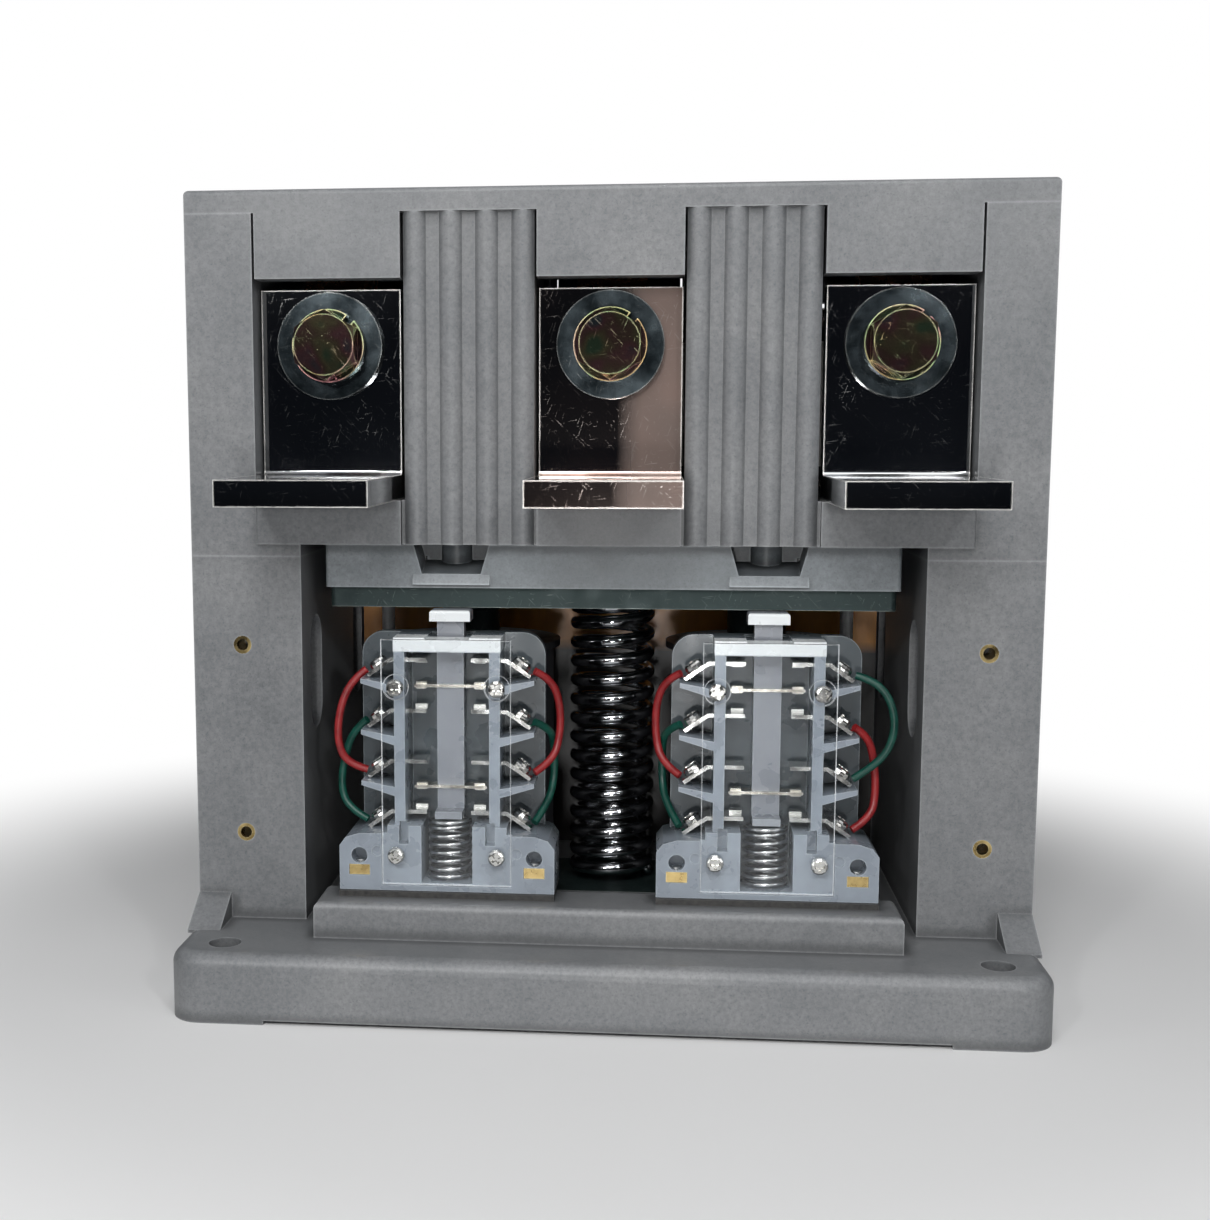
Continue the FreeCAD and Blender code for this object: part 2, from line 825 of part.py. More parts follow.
def flexible_connector(x):
    """Stack of copper leaves that arches from the front terminal to the moving stem."""
    start = leaf_start
    drop = leaf_drop
    inner = leaf_arc - leaf_stack / 2
    outer = leaf_arc + leaf_stack / 2
    centre_y = start + leaf_arc
    foot = bolt_height + conductor_width / 2 - 3
    x0 = x - leaf_width / 2
    rise = box(x0, x0 + leaf_width, start - leaf_stack / 2, start + leaf_stack / 2, foot, leaf_rise)
    arch = Part.makeCylinder(outer, leaf_width, V(x0, centre_y, leaf_rise), RIGHT)
    arch = arch.cut(Part.makeCylinder(inner, leaf_width, V(x0, centre_y, leaf_rise), RIGHT))
    arch = arch.common(box(x0, x0 + leaf_width, centre_y - outer, centre_y + outer,
                           leaf_rise, leaf_rise + outer))
    fall = box(x0, x0 + leaf_width, drop - leaf_stack / 2, drop + leaf_stack / 2, leaf_bottom, leaf_rise)
    tail = box(x0, x0 + leaf_width, drop - leaf_stack / 2, leaf_width / 2, leaf_bottom, leaf_top)
    tail = tail.cut(rod(moving_stem + 2 * running_gap, leaf_bottom - 1, leaf_top + 1, x, 0))
    return joined([conductor_block_solid(x), rise, arch, fall, tail])


def fixed_strap(x):
    """Copper strap from the rear terminal down and under the interrupter."""
    half = conductor_width / 2
    upright = to_rear(conductor_block_solid(x))
    back = -plate_back
    riser = box(x - half, x + half, back - conductor_block, back, deck_top, bolt_height - half + 1)
    sole = box(x - half, x + half, -half, back, deck_top, strap_top)
    return joined([upright, riser, sole])


# Vacuum interrupters

def interrupter_tube(x):
    return ring(tube_diameter, tube_diameter - 2 * tube_wall, tube_bottom, tube_top, x)


def interrupter_caps(x):
    """Metal end caps, the lower closed round the fixed stem, the upper open round the moving stem."""
    outer = tube_diameter - 2 * cap_inset
    lower = ring(outer, fixed_stem, strap_top, tube_bottom, x)
    upper = ring(outer, bellows_inner, tube_top, cap_top, x)
    return [lower, upper]


def fixed_contact(x):
    disc_bottom = fixed_contact_top - contact_thickness
    stem = rod(fixed_stem, strap_top, disc_bottom + 1, x)
    disc = rod(contact_diameter, disc_bottom, fixed_contact_top, x)
    return joined([stem, disc])


def moving_contact(x):
    """Moving contact, its stem, the collar under the leaves, the clamp nut and the lifting nut."""
    disc_top = moving_contact_bottom + contact_thickness
    disc = rod(contact_diameter, moving_contact_bottom, disc_top, x)
    shield = rod(bellows_outer, disc_top - 1, disc_top + 1.5, x)
    stem = rod(moving_stem, disc_top, clamp_top, x)
    collar = rod(collar_diameter, leaf_bottom - collar_height, leaf_bottom, x)
    clamp = hexagon_prism(collar_diameter - 2, clamp_height, V(x, 0, leaf_top), UP)
    thread = rod(stem_thread, clamp_top - 1, crossbar_top + stem_nut_height + 1, x)
    nut = hexagon_prism(stem_nut_flats, stem_nut_height, V(x, 0, crossbar_top), UP)
    return joined([disc, shield, stem, collar, clamp, thread, nut])


def bellows(x):
    """Thin folded tube that seals the moving stem to the upper cap."""
    low = moving_contact_bottom + contact_thickness + 1.5
    fold = (tube_top - low) / bellows_folds
    outer = bellows_outer / 2
    inner = bellows_inner / 2
    outside = [V(inner + bellows_wall, 0, low)]
    for index in range(bellows_folds):
        middle = low + fold * (index + 0.5)
        end = low + fold * (index + 1)
        outside.append(V(outer, 0, middle))
        outside.append(V(inner + bellows_wall, 0, end))
    inside = [V(point.x - bellows_wall, 0, point.z) for point in reversed(outside)]
    points = outside + inside
    profile = Part.Face(Part.makePolygon(points + [points[0]]))
    solid = profile.revolve(ORIGIN, UP, 360)
    solid.translate(V(x, 0, 0))
    return solid


# Crosshead

def crosshead_beam():
    """Moulded beam over the armature, with a sloped pocket and lip over each switch block."""
    front = face + beam_set_back
    depth = -2 * front
    beam = block(beam_width, depth, beam_bottom, beam_top)
    beam = round_edges(beam, 1.0, is_upright)
    extras = []
    cuts = []
    for sign in side_signs:
        x = sign * switch_spacing / 2
        floor = beam_top - beam_pocket_height
        pocket = slab_xz([(x - beam_pocket_floor / 2, floor), (x + beam_pocket_floor / 2, floor),
                          (x + beam_pocket_top / 2, beam_top + 1), (x - beam_pocket_top / 2, beam_top + 1)],
                         front - 1, front + beam_pocket_depth)
        ramp = slab_yz([(front - 1, floor), (front + beam_pocket_depth, floor),
                        (front + beam_pocket_depth, floor + beam_pocket_slope)],
                       x - beam_pocket_top, x + beam_pocket_top)
        boss = rod(beam_boss, floor, beam_top, x, front + beam_pocket_depth)
        pocket = pocket.cut([ramp, boss])
        lip_top = floor
        lip_low = lip_top - beam_lip_height
        lip = slab_yz([(front + 1, lip_low), (front - beam_lip, lip_low), (front, lip_top), (front + 1, lip_top)],
                      x - beam_lip_width / 2, x + beam_lip_width / 2)
        cuts += both_ends(pocket)
        extras += both_ends(lip)
    beam = beam.cut(cuts)
    for x, y in armature_screw_places():
        beam = beam.cut(rod(armature_screw, beam_bottom - 1, beam_bottom + armature_screw_grip, x, y))
    beam = beam.cut(guide_rods(guide_rod + 2 * guide_clearance, beam_bottom - 1, guide_hole_top))
    return joined([beam] + extras)


def armature_screw_places():
    return [(sx * armature_screw_spacing_x / 2, sy * armature_screw_spacing_y / 2)
            for sx in side_signs for sy in side_signs]


def armature_screw_shape(x, y):
    """Countersunk screw, head down."""
    cone_height = (armature_screw_head - armature_screw) / 2
    head = Part.makeCone(armature_screw_head / 2, armature_screw / 2, cone_height,
                         V(x, y, armature_bottom), UP)
    shank = rod(armature_screw, armature_bottom + cone_height - 0.5,
                beam_bottom + armature_screw_grip, x, y)
    return joined([head, shank])


def armature_screws():
    screws = []
    for x, y in armature_screw_places():
        socket = hexagon_prism(armature_screw_socket, armature_screw_socket_depth,
                               V(x, y, armature_bottom), UP)
        screws.append(armature_screw_shape(x, y).cut(socket))
    return screws


def armature_plate():
    plate = block(armature_width, armature_depth, armature_bottom, beam_bottom)
    plate = round_edges(plate, 1.5, is_upright)
    cuts = [armature_screw_shape(x, y) for x, y in armature_screw_places()]
    cuts += guide_rods(guide_rod + 2 * guide_clearance, armature_bottom - 1, beam_bottom + 1)
    return plate.cut(cuts)


def crosshead_posts():
    """Two flat posts that run up inside the hollow columns."""
    posts = []
    for sign in side_signs:
        post = block(post_width, post_depth, beam_top, crossbar_bottom, sign * post_spacing / 2)
        posts.append(round_edges(post, 1.5, is_upright))
    return posts


def upper_crossbar():
    """Bar over the interrupters, with a spring seat and a stem hole over each pole."""
    bar = block(crossbar_width, crossbar_depth, crossbar_bottom, crossbar_top)
    bar = round_edges(bar, 3.0, is_upright)
    cuts = []
    for x in pole_x:
        cuts.append(rod(spring_seat_diameter, crossbar_bottom - 1, crossbar_bottom + spring_seat_depth, x))
        cuts.append(rod(stem_thread + 2 * running_gap, crossbar_bottom, crossbar_top + 1, x))
    return bar.cut(cuts)


# Magnet

def magnet_yoke():
    return block(yoke_length, yoke_depth, yoke_bottom, floor_top)


def magnet_core(sign):
    core = rod(core_diameter, floor_top, core_top, sign * core_spacing / 2)
    return core.makeFillet(core_edge_radius, [edge for edge in core.Edges if lies_at_height(edge, core_top)])


def coil_bobbin(sign):
    """Bobbin with a flange at each end."""
    x = sign * core_spacing / 2
    inner = core_diameter + 2 * running_gap
    barrel = inner + 2 * bobbin_wall
    low = ring(coil_diameter, inner, floor_top, floor_top + coil_flange, x)
    high = ring(coil_diameter, inner, coil_top - coil_flange, coil_top, x)
    middle = ring(barrel, inner, floor_top, coil_top, x)
    return joined([low, high, middle])


def coil_winding(sign):
    x = sign * core_spacing / 2
    barrel = core_diameter + 2 * running_gap + 2 * bobbin_wall
    outer = coil_diameter - 2 * winding_inset
    return ring(outer, barrel, floor_top + coil_flange, coil_top - coil_flange, x)


def rear_board():
    y1 = -face - board_from_rear
    return box(-board_width / 2, board_width / 2, y1 - board_thickness, y1, floor_top, board_top)


def guide_rods(diameter, z0, z1):
    """Two upright rods that the armature and beam slide on."""
    return [rod(diameter, z0, z1, sign * guide_spacing / 2, guide_behind) for sign in side_signs]


# Auxiliary switch blocks, modelled round x = 0 and then moved to each side

def switch_base_plate():
    half = switch_base_width / 2
    plate = box(-half, half, switch_face - base_plate_overhang, switch_back, step_top, block_bottom)
    return plate.cut([rod(stud_diameter + 2 * stud_clearance, step_top - 1, block_bottom + 1,
                          sign * stud_spacing / 2, stud_y) for sign in side_signs])


def switch_base():
    """Stepped base of a block, with the raised middle that the cover's lower half lies on."""
    half = switch_base_width / 2
    side = [(half, block_bottom), (half, base_top - shoulder_drop),
            (half - shoulder_in, base_top - shoulder_drop + shoulder_slope), (half - shoulder_reach, base_top),
            (inner_half_width, base_top), (inner_half_width, base_top + inner_rise)]
    other_side = [(-x, z) for x, z in reversed(side)]
    return slab_xz(side + other_side, switch_face, switch_back)


def switch_housing():
    """Moulded body: base with nut pockets, back plate, ribs, slanted partitions, top bar."""
    half = switch_plate_width / 2
    plate = box(-half, half, switch_plate_front, switch_back, block_bottom, switch_top)
    plate = plate.makeFillet(switch_plate_corner, [edge for edge in plate.Edges
                             if edge.BoundBox.YLength > 1 and edge.BoundBox.ZMin > switch_top - 1])
    rear = switch_plate_front + 0.5
    pieces = [switch_base(), plate]
    for sign in side_signs:
        x0 = sign * rib_offset - rib_thickness / 2
        pieces.append(box(x0, x0 + rib_thickness, rib_front, rear, base_top - 1, switch_top - bar_height))
        for level in levels[:3]:
            pieces.append(to_side(partition(level, rear), sign))
    pieces.append(box(-bar_width / 2, bar_width / 2, rib_front, rear, switch_top - bar_height, switch_top))
    return joined(pieces).cut(housing_cuts())


def housing_cuts():
    """Window, cover seat, nut pockets, screw eyes, slots and the passage of the plunger."""
    seat_half = switch_cover_width / 2 + cover_seat_gap
    stem_half = stem_width / 2 + stem_clearance
    head_half = head_width / 2 + stem_clearance
    cuts = [box(-window_width / 2, window_width / 2, switch_face - 1, switch_plate_front,
                block_bottom + window_sill, base_top + inner_rise + 1),
            box(-seat_half, seat_half, switch_face - 1, switch_face + switch_cover_thickness + cover_seat_gap,
                block_bottom + cover_sill, base_top + inner_rise + 1),
            box(-stem_half, stem_half, stem_front - stem_clearance, stem_front + stem_thickness + stem_clearance,
                switch_top - bar_height - 1, switch_top + 1),
            box(-head_half, head_half, rib_front - 1, switch_plate_front + 1, switch_top - head_room,
                switch_top + 1)]
    for sign in side_signs:
        x = sign * stud_spacing / 2
        side = nut_side / 2 + nut_clearance
        cuts.append(box(x - side, x + side, switch_face - 1, stud_y + side,
                        nut_bottom - nut_clearance, nut_bottom + nut_height + nut_clearance))
        cuts.append(level_rod(eye_diameter, switch_face - 1, switch_face + eye_depth, x, block_bottom + eye_rise))
        cuts.append(level_rod(mark_diameter, switch_face - 1, switch_face + mark_depth,
                              sign * mark_offset, block_bottom + mark_rise))
        cuts.append(rod(stud_diameter + 2 * stud_clearance, block_bottom - 1, stud_top + nut_clearance, x, stud_y))
        slot_x = sign * slot_offset
        cuts.append(box(slot_x - slot_opening / 2, slot_x + slot_opening / 2, switch_face - 1,
                        switch_face + slot_depth, base_top - slot_drop, base_top + inner_rise + 1))
    return cuts + small_screw_rods() + switch_terminals()


def partition(level, rear):
    """Tapered wall under a terminal, from the rib out to the clamp's outer end."""
    return slab_xz([(rib_offset, level - partition_inner_bottom), (partition_end, level - partition_end_bottom),
                    (partition_end, level - partition_end_top), (rib_offset, level - partition_inner_top)],
                   rib_front, rear)


def stud_places():
    return [(side * switch_spacing / 2 + sign * stud_spacing / 2, stud_y)
            for side in side_signs for sign in side_signs]


def switch_studs():
    """Studs that stand in the frame's step and hold the blocks down."""
    return [rod(stud_diameter, step_top - stud_depth, stud_top, x, y) for x, y in stud_places()]


def switch_nuts():
    nuts = []
    for x, y in stud_places():
        nut = block(nut_side, nut_side, nut_bottom, nut_bottom + nut_height, x, y)
        nuts.append(nut.cut(rod(stud_diameter, nut_bottom - 1, nut_bottom + nut_height + 1, x, y)))
    return nuts


def small_screw_rods():
    """Shanks of the four screws that hold a block's clear cover."""
    return [level_rod(small_shank, switch_face - 0.5, switch_face + cover_screw_grip,
                      sign * cover_screw_spacing / 2, z)
            for sign in side_signs for z in (cover_screw_low, cover_screw_high)]


def switch_cover():
    """Clear cover plate with a boss under each upper screw."""
    plate = box(-switch_cover_width / 2, switch_cover_width / 2, switch_face,
                switch_face + switch_cover_thickness, block_bottom + cover_sill + cover_seat_gap,
                switch_top - cover_seat_gap)
    pieces = [plate]
    for sign in side_signs:
        pieces.append(level_rod(cover_boss, switch_face, rib_front, sign * cover_screw_spacing / 2,
                                cover_screw_high))
    return joined(pieces).cut(small_screw_rods())


def pan_head(diameter, height):
    """Low head with a bevelled rim, seated on z = 0 and facing up."""
    head = rod(diameter, 0, height)
    return head.makeChamfer(height * 0.35, [edge for edge in head.Edges if lies_at_height(edge, height)])


def switch_cover_screws():
    screws = []
    for sign in side_signs:
        for z in (cover_screw_low, cover_screw_high):
            head = joined([pan_head(small_head, small_head_height), rod(small_shank, -cover_screw_grip, 0.3)])
            turn = FreeCAD.Rotation(UP, V(0, -1, 0))
            head.Placement = FreeCAD.Placement(V(sign * cover_screw_spacing / 2, switch_face, z), turn)
            screws.append(head)
    return screws


def contact_pad(width_of_pad, z0, z1, x):
    return block(width_of_pad, width_of_pad, z0, z1, x, contact_y)


def switch_terminal(level, tip_up):
    """Contact strip and sloped clamp of one terminal on the right side, bent from one strip."""
    across = clamp_thickness * math.sin(clamp_angle)
    along = clamp_thickness * math.cos(clamp_angle)
    bend = clamp_start + clamp_thickness * math.tan(clamp_angle / 2)
    inner_end = contact_tip - strip_past_tip
    strip = slab_xz([(inner_end, level), (clamp_start, level), (clamp_end, level - clamp_drop),
                     (clamp_end + across, level - clamp_drop + along), (bend, level + clamp_thickness),
                     (inner_end, level + clamp_thickness)],
                    clamp_y - clamp_width / 2, clamp_y + clamp_width / 2)
    if tip_up:
        high = level + clamp_thickness
        return joined([strip, contact_pad(tip_width, high - 0.2, high + tip_height, contact_tip)])
    return joined([strip, contact_pad(tip_width, level - tip_height, level + 0.2, contact_tip)])


def switch_terminals():
    parts = []
    for row, level in enumerate(levels):
        strip = switch_terminal(level, row % 2 == 1)
        parts += [strip, to_side(strip, -1)]
    return parts


def switch_terminal_screws():
    """Screws seated square on the slopes of the clamps."""
    parts = []
    for level in levels:
        head = pan_head(terminal_head, terminal_head_height)
        x = (clamp_start + clamp_end) / 2 + clamp_thickness * math.sin(clamp_angle)
        z = level - clamp_drop / 2 + clamp_thickness * math.cos(clamp_angle)
        slope = V(math.sin(clamp_angle), 0, math.cos(clamp_angle))
        head.Placement = FreeCAD.Placement(V(x, clamp_y, z), FreeCAD.Rotation(UP, slope))
        parts += [head, to_side(head, -1)]
    return parts


def plunger():
    """Sliding plunger with a T head, cut through where the contact bridges pass."""
    stem_back = stem_front + stem_thickness
    half = stem_width / 2
    stem = box(-half, half, stem_front, stem_back, plunger_foot, plunger_top - 1)
    head_front = stem_front - head_overhang
    head = box(-head_width / 2, head_width / 2, head_front, head_front + head_depth,
               plunger_top - head_height, plunger_top)
    head = head.makeFillet(head_edge_radius, [edge for edge in head.Edges if lies_at_height(edge, plunger_top)])
    foot = box(-half, half, spring_y - foot_reach, stem_back, plunger_foot, plunger_foot + foot_thickness)
    body = joined([stem, head, foot])
    return body.cut([bridge_strip(height) for height in bridge_heights])


def bridge_strip(height):
    return block(bridge_length, bridge_width, height, height + bridge_thickness, 0, contact_y)


def bridges():
    """Sprung contact bridges carried by the plunger."""
    parts = []
    for height in bridge_heights:
        pieces = [bridge_strip(height)]
        for sign in side_signs:
            pieces.append(contact_pad(button_width, height - bridge_button,
                                      height + bridge_thickness + bridge_button, sign * contact_tip))
        parts.append(joined(pieces))
    return parts


def return_spring():
    return coil_spring(return_wire, return_coil, return_turns, block_bottom + window_sill, plunger_foot,
                       0, spring_y)


def at_switch(shapes, sign):
    moved = []
    for shape in shapes:
        copy = shape.copy()
        copy.translate(V(sign * switch_spacing / 2, 0, 0))
        moved.append(copy)
    return moved


def at_both_switches(shapes):
    return at_switch(shapes, -1) + at_switch(shapes, 1)


# Jumper wires

def wire_tube(points, diameter):
    """Tube along straight runs joined by tangent arcs, each as large as its two runs allow."""
    route = [V(*point) for point in points]
    edges = []
    start = route[0]
    radii = []
    for before, corner, after in zip(route, route[1:], route[2:]):
        back = (before - corner)
        ahead = (after - corner)
        shorter = min(back.Length, ahead.Length)
        reach = 0.45 * shorter
        turn = math.pi - back.getAngle(ahead)
        radii.append(round(reach / math.tan(turn / 2), 1))
        first = corner + back.normalize() * reach
        last = corner + ahead.normalize() * reach
        bisector = ((first - corner) + (last - corner)).normalize()
        radius = reach / math.tan(turn / 2)
        centre_distance = radius / math.cos(turn / 2)
        middle = corner + bisector * (centre_distance - radius)
        edges.append(Part.LineSegment(start, first).toShape())
        edges.append(Part.Arc(first, middle, last).toShape())
        start = last
    edges.append(Part.LineSegment(start, route[-1]).toShape())
    path = Part.Wire(edges)
    direction = (route[1] - route[0]).normalize()
    section = Part.Wire(Part.makeCircle(diameter / 2, route[0], direction))
    tube = path.makePipeShell([section], True, True)
    share = tube.Volume / (math.pi * diameter ** 2 / 4 * path.Length)
    return tube, radii, path.Length, share


# Each jumper's points from the upper clamp to the lower one, taken from the upper clamp's wire end:
# out from the block's centre line, behind the clamp's middle, and height.
outer_red = [(0.0, 0.0, 0.0), (4.8, -0.8, -3.6), (7.9, -2.0, -12.3), (8.4, -2.0, -21.3), (5.9, -0.6, -27.6)]
outer_green = [(0.0, 0.0, 0.0), (4.4, 1.6, -3.4), (7.4, 3.0, -11.9), (8.6, 3.0, -20.4), (6.0, 1.4, -26.6)]
inner_red = [(0.0, 0.0, 0.0), (4.4, 2.0, -2.4), (6.9, 5.5, -9.6), (7.0, 6.0, -19.3), (5.0, 3.0, -26.4)]
inner_green = [(0.0, 0.0, 0.0), (4.0, 3.5, -2.2), (5.0, 9.6, -7.9), (5.0, 11.0, -16.7), (4.1, 6.0, -23.9)]
wide_green = [(0.0, 0.0, 0.0), (5.2, -0.8, -1.2), (10.0, -1.4, -7.0), (11.2, -1.6, -15.8), (7.4, -1.6, -24.2)]
far_red = [(0.0, 0.0, 0.0), (4.2, 2.2, -2.8), (6.2, 4.2, -10.2), (7.0, 4.2, -19.4), (5.4, 1.8, -26.2)]
jumper_routes = {
    "red_jumper_left_outer": (-1, -1, 0, outer_red),
    "green_jumper_left_outer": (-1, -1, 1, outer_green),
    "red_jumper_left_inner": (-1, 1, 0, inner_red),
    "green_jumper_left_inner": (-1, 1, 1, inner_green),
    "red_jumper_right_inner": (1, -1, 0, inner_red),
    "green_jumper_right_inner": (1, -1, 1, inner_green),
    "red_jumper_right_outer": (1, 1, 1, far_red),
    "green_jumper_right_outer": (1, 1, 0, wide_green),
}


def jumper_points(block_sign, side_sign, row, route):
    """Points of a jumper in the part's frame, ending on the clamp two rows down."""
    middle = block_sign * switch_spacing / 2
    high = levels[row] - wire_under_level
    low = levels[row + 2] - wire_under_level
    points = [(middle + side_sign * (wire_start + out), clamp_y + back, high + rise) for out, back, rise in route]
    return points + [(middle + side_sign * wire_start, clamp_y, low)]


def jumper_wires():
    wires = {}
    for name, (block_sign, side_sign, row, route) in jumper_routes.items():
        tube, radii, length, share = wire_tube(jumper_points(block_sign, side_sign, row, route), wire_diameter)
        print(name, "radii", radii, "length", round(length, 1), "volume share", round(share, 4))
        wires[name] = [tube]
    return wires


def opening_spring():
    return coil_spring(opening_wire, opening_coil, opening_turns, floor_top, armature_bottom, 0, 0)


def contact_spring(x):
    return coil_spring(contact_wire, contact_coil, contact_turns, clamp_top, crossbar_bottom + spring_seat_depth, x, 0)


def all_nodes():
    nodes = {
        "base_frame": [base_frame()],
        "upper_housing": [upper_housing()],
        "top_cover": [top_cover()],
        "cover_screws": cover_screws(),
        "threaded_inserts": threaded_inserts(),
        "frame_bolts": frame_bolts(),
        "terminal_bolts": terminal_bolts(),
        "terminal_spring_washers": spring_washers(),
        "terminal_flat_washers": flat_washers(),
        "flexible_connectors": [flexible_connector(x) for x in pole_x],
        "fixed_straps": [fixed_strap(x) for x in pole_x],
        "interrupter_tubes": [interrupter_tube(x) for x in pole_x],
        "interrupter_end_caps": [cap for x in pole_x for cap in interrupter_caps(x)],
        "fixed_contacts": [fixed_contact(x) for x in pole_x],
        "bellows": [bellows(x) for x in pole_x],
        "contact_springs": [contact_spring(x) for x in pole_x],
        "magnet_yoke": [magnet_yoke()],
        "magnet_cores": [magnet_core(sign) for sign in side_signs],
        "coil_bobbins": [coil_bobbin(sign) for sign in side_signs],
        "coil_windings": [coil_winding(sign) for sign in side_signs],
        "rear_board": [rear_board()],
        "guide_rods": guide_rods(guide_rod, floor_top, guide_top),
        "opening_spring": [opening_spring()],
        "crosshead_beam": [crosshead_beam()],
        "armature_plate": [armature_plate()],
        "armature_screws": armature_screws(),
        "crosshead_posts": crosshead_posts(),
        "upper_crossbar": [upper_crossbar()],
        "switch_base_plates": at_both_switches([switch_base_plate()]),
        "switch_terminals": at_both_switches(switch_terminals()),
        "switch_terminal_screws": at_both_switches(switch_terminal_screws()),
        "switch_cover_screws": at_both_switches(switch_cover_screws()),
        "switch_studs": switch_studs(),
        "switch_nuts": switch_nuts(),
        "switch_return_springs": at_both_switches([return_spring()]),
    }
    for x, name in zip(pole_x, pole_names):
        nodes["front_terminal_" + name] = [terminal(x)]
        nodes["rear_terminal_" + name] = [to_rear(terminal(x))]
        nodes["moving_contact_" + name] = [moving_contact(x)]
    for sign, name in zip(side_signs, side_names):
        nodes["switch_housing_" + name] = at_switch([switch_housing()], sign)
        nodes["switch_cover_" + name] = at_switch([switch_cover()], sign)
        nodes["switch_plunger_" + name] = at_switch([plunger()], sign)
        nodes["switch_bridges_" + name] = at_switch(bridges(), sign)
    nodes.update(jumper_wires())
    return nodes


os.makedirs("parts", exist_ok=True)
for node, solids in all_nodes().items():
    shape = solids[0]
    if len(solids) > 1:
        shape = Part.makeCompound(solids)
    shape.exportStep("parts/" + node + ".step")
    if not shape.isValid():
        print("not valid:", node)
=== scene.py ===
import math
import bmesh
import bpy
from mathutils import Matrix, Vector


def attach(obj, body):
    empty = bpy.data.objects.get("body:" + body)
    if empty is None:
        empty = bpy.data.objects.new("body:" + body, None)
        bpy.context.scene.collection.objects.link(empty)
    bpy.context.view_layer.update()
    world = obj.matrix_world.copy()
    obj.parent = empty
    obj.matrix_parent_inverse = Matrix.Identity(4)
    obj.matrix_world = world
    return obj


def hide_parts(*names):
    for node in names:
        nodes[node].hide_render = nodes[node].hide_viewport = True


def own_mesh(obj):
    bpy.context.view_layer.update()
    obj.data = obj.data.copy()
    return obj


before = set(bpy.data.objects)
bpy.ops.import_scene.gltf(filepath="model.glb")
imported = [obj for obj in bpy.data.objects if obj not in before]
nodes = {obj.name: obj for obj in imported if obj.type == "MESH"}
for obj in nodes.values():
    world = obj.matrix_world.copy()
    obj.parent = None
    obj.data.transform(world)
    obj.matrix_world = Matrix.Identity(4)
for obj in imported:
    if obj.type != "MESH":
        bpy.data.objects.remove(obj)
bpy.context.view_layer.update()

# Camera
# A hand-held camera a little above the middle of the contactor, about 45 cm in front of its walls.
# The picture was cropped afterwards, so the lens axis sits left of and below the picture's centre.
picture_long_side = 1220.0
focal_pixels = 1600.0
axis_from_centre = (105.0, 21.51)
camera_data = bpy.data.cameras.new("camera")
camera_data.lens = camera_data.sensor_width * focal_pixels / picture_long_side
camera_data.shift_x = axis_from_centre[0] / picture_long_side
camera_data.shift_y = axis_from_centre[1] / picture_long_side
camera_data.clip_start = 0.02
camera = bpy.data.objects.new("camera", camera_data)
camera.location = (0.0137, -0.49841, 0.15973)
camera.rotation_euler = (math.radians(90 - 7.0), math.radians(0.05), math.radians(5.63))
bpy.context.collection.objects.link(camera)
bpy.context.scene.camera = camera
bpy.context.scene.view_settings.view_transform = "Standard"


# Moulded frame, upper housing and cover
# Grey glass-filled polyester compound, pressed in a hot mould: dull, finely speckled, faintly cloudy.
# The edges are painted a little paler than the faces, partly rubbed wear and partly painted highlight, and
# grooves and recesses are painted darker as painted shade.
def new_material(name, color, roughness=0.5, metallic=0.0):
    """A material with one Principled shader; returns it with its tree and shader."""
    material = bpy.data.materials.new(name)
    material.use_nodes = True
    tree = material.node_tree
    shader = tree.nodes["Principled BSDF"]
    shader.inputs["Base Color"].default_value = (*color, 1.0)
    shader.inputs["Roughness"].default_value = roughness
    shader.inputs["Metallic"].default_value = metallic
    return material, tree, shader


def add_node(tree, kind, **settings):
    node = tree.nodes.new(kind)
    for name, value in settings.items():
        setattr(node, name, value)
    return node


def put(tree, value, socket):
    """Give a socket a link, a colour or a number."""
    if isinstance(value, bpy.types.NodeSocket):
        tree.links.new(value, socket)
    elif isinstance(value, tuple):
        socket.default_value = (*value, 1.0)
    else:
        socket.default_value = value


def noise(tree, scale, detail=4.0, roughness=0.55, lengths=(1, 1, 1), turn=(0, 0, 0)):
    """Noise on object coordinates, made longer along its own axes and then turned."""
    place = add_node(tree, "ShaderNodeTexCoord")
    mapping = add_node(tree, "ShaderNodeMapping", vector_type="TEXTURE")
    mapping.inputs["Rotation"].default_value = turn
    mapping.inputs["Scale"].default_value = lengths
    tree.links.new(place.outputs["Object"], mapping.inputs["Vector"])
    texture = add_node(tree, "ShaderNodeTexNoise")
    texture.inputs["Scale"].default_value = scale
    texture.inputs["Detail"].default_value = detail
    texture.inputs["Roughness"].default_value = roughness
    tree.links.new(mapping.outputs["Vector"], texture.inputs["Vector"])
    return texture.outputs["Fac"]


def ramp(tree, value, stops):
    """Colour ramp; stops are (position, colour) pairs."""
    node = add_node(tree, "ShaderNodeValToRGB")
    elements = node.color_ramp.elements
    while len(elements) < len(stops):
        elements.new(0.5)
    for element, (position, color) in zip(elements, stops):
        element.position = position
        element.color = (*color, 1.0)
    tree.links.new(value, node.inputs["Fac"])
    return node.outputs["Color"]


def blend_colors(tree, factor, first, second, mode="MIX"):
    node = add_node(tree, "ShaderNodeMix", data_type="RGBA", blend_type=mode)
    for socket, value in zip((node.inputs[0], node.inputs[6], node.inputs[7]), (factor, first, second)):
        put(tree, value, socket)
    return node.outputs[2]


def remap(tree, value, low, high, to_low, to_high):
    node = add_node(tree, "ShaderNodeMapRange")
    tree.links.new(value, node.inputs["Value"])
    for name, number in (("From Min", low), ("From Max", high), ("To Min", to_low), ("To Max", to_high)):
        node.inputs[name].default_value = number
    return node.outputs["Result"]


def reckon(tree, operation, first, second):
    node = add_node(tree, "ShaderNodeMath", operation=operation)
    put(tree, first, node.inputs[0])
    put(tree, second, node.inputs[1])
    return node.outputs[0]


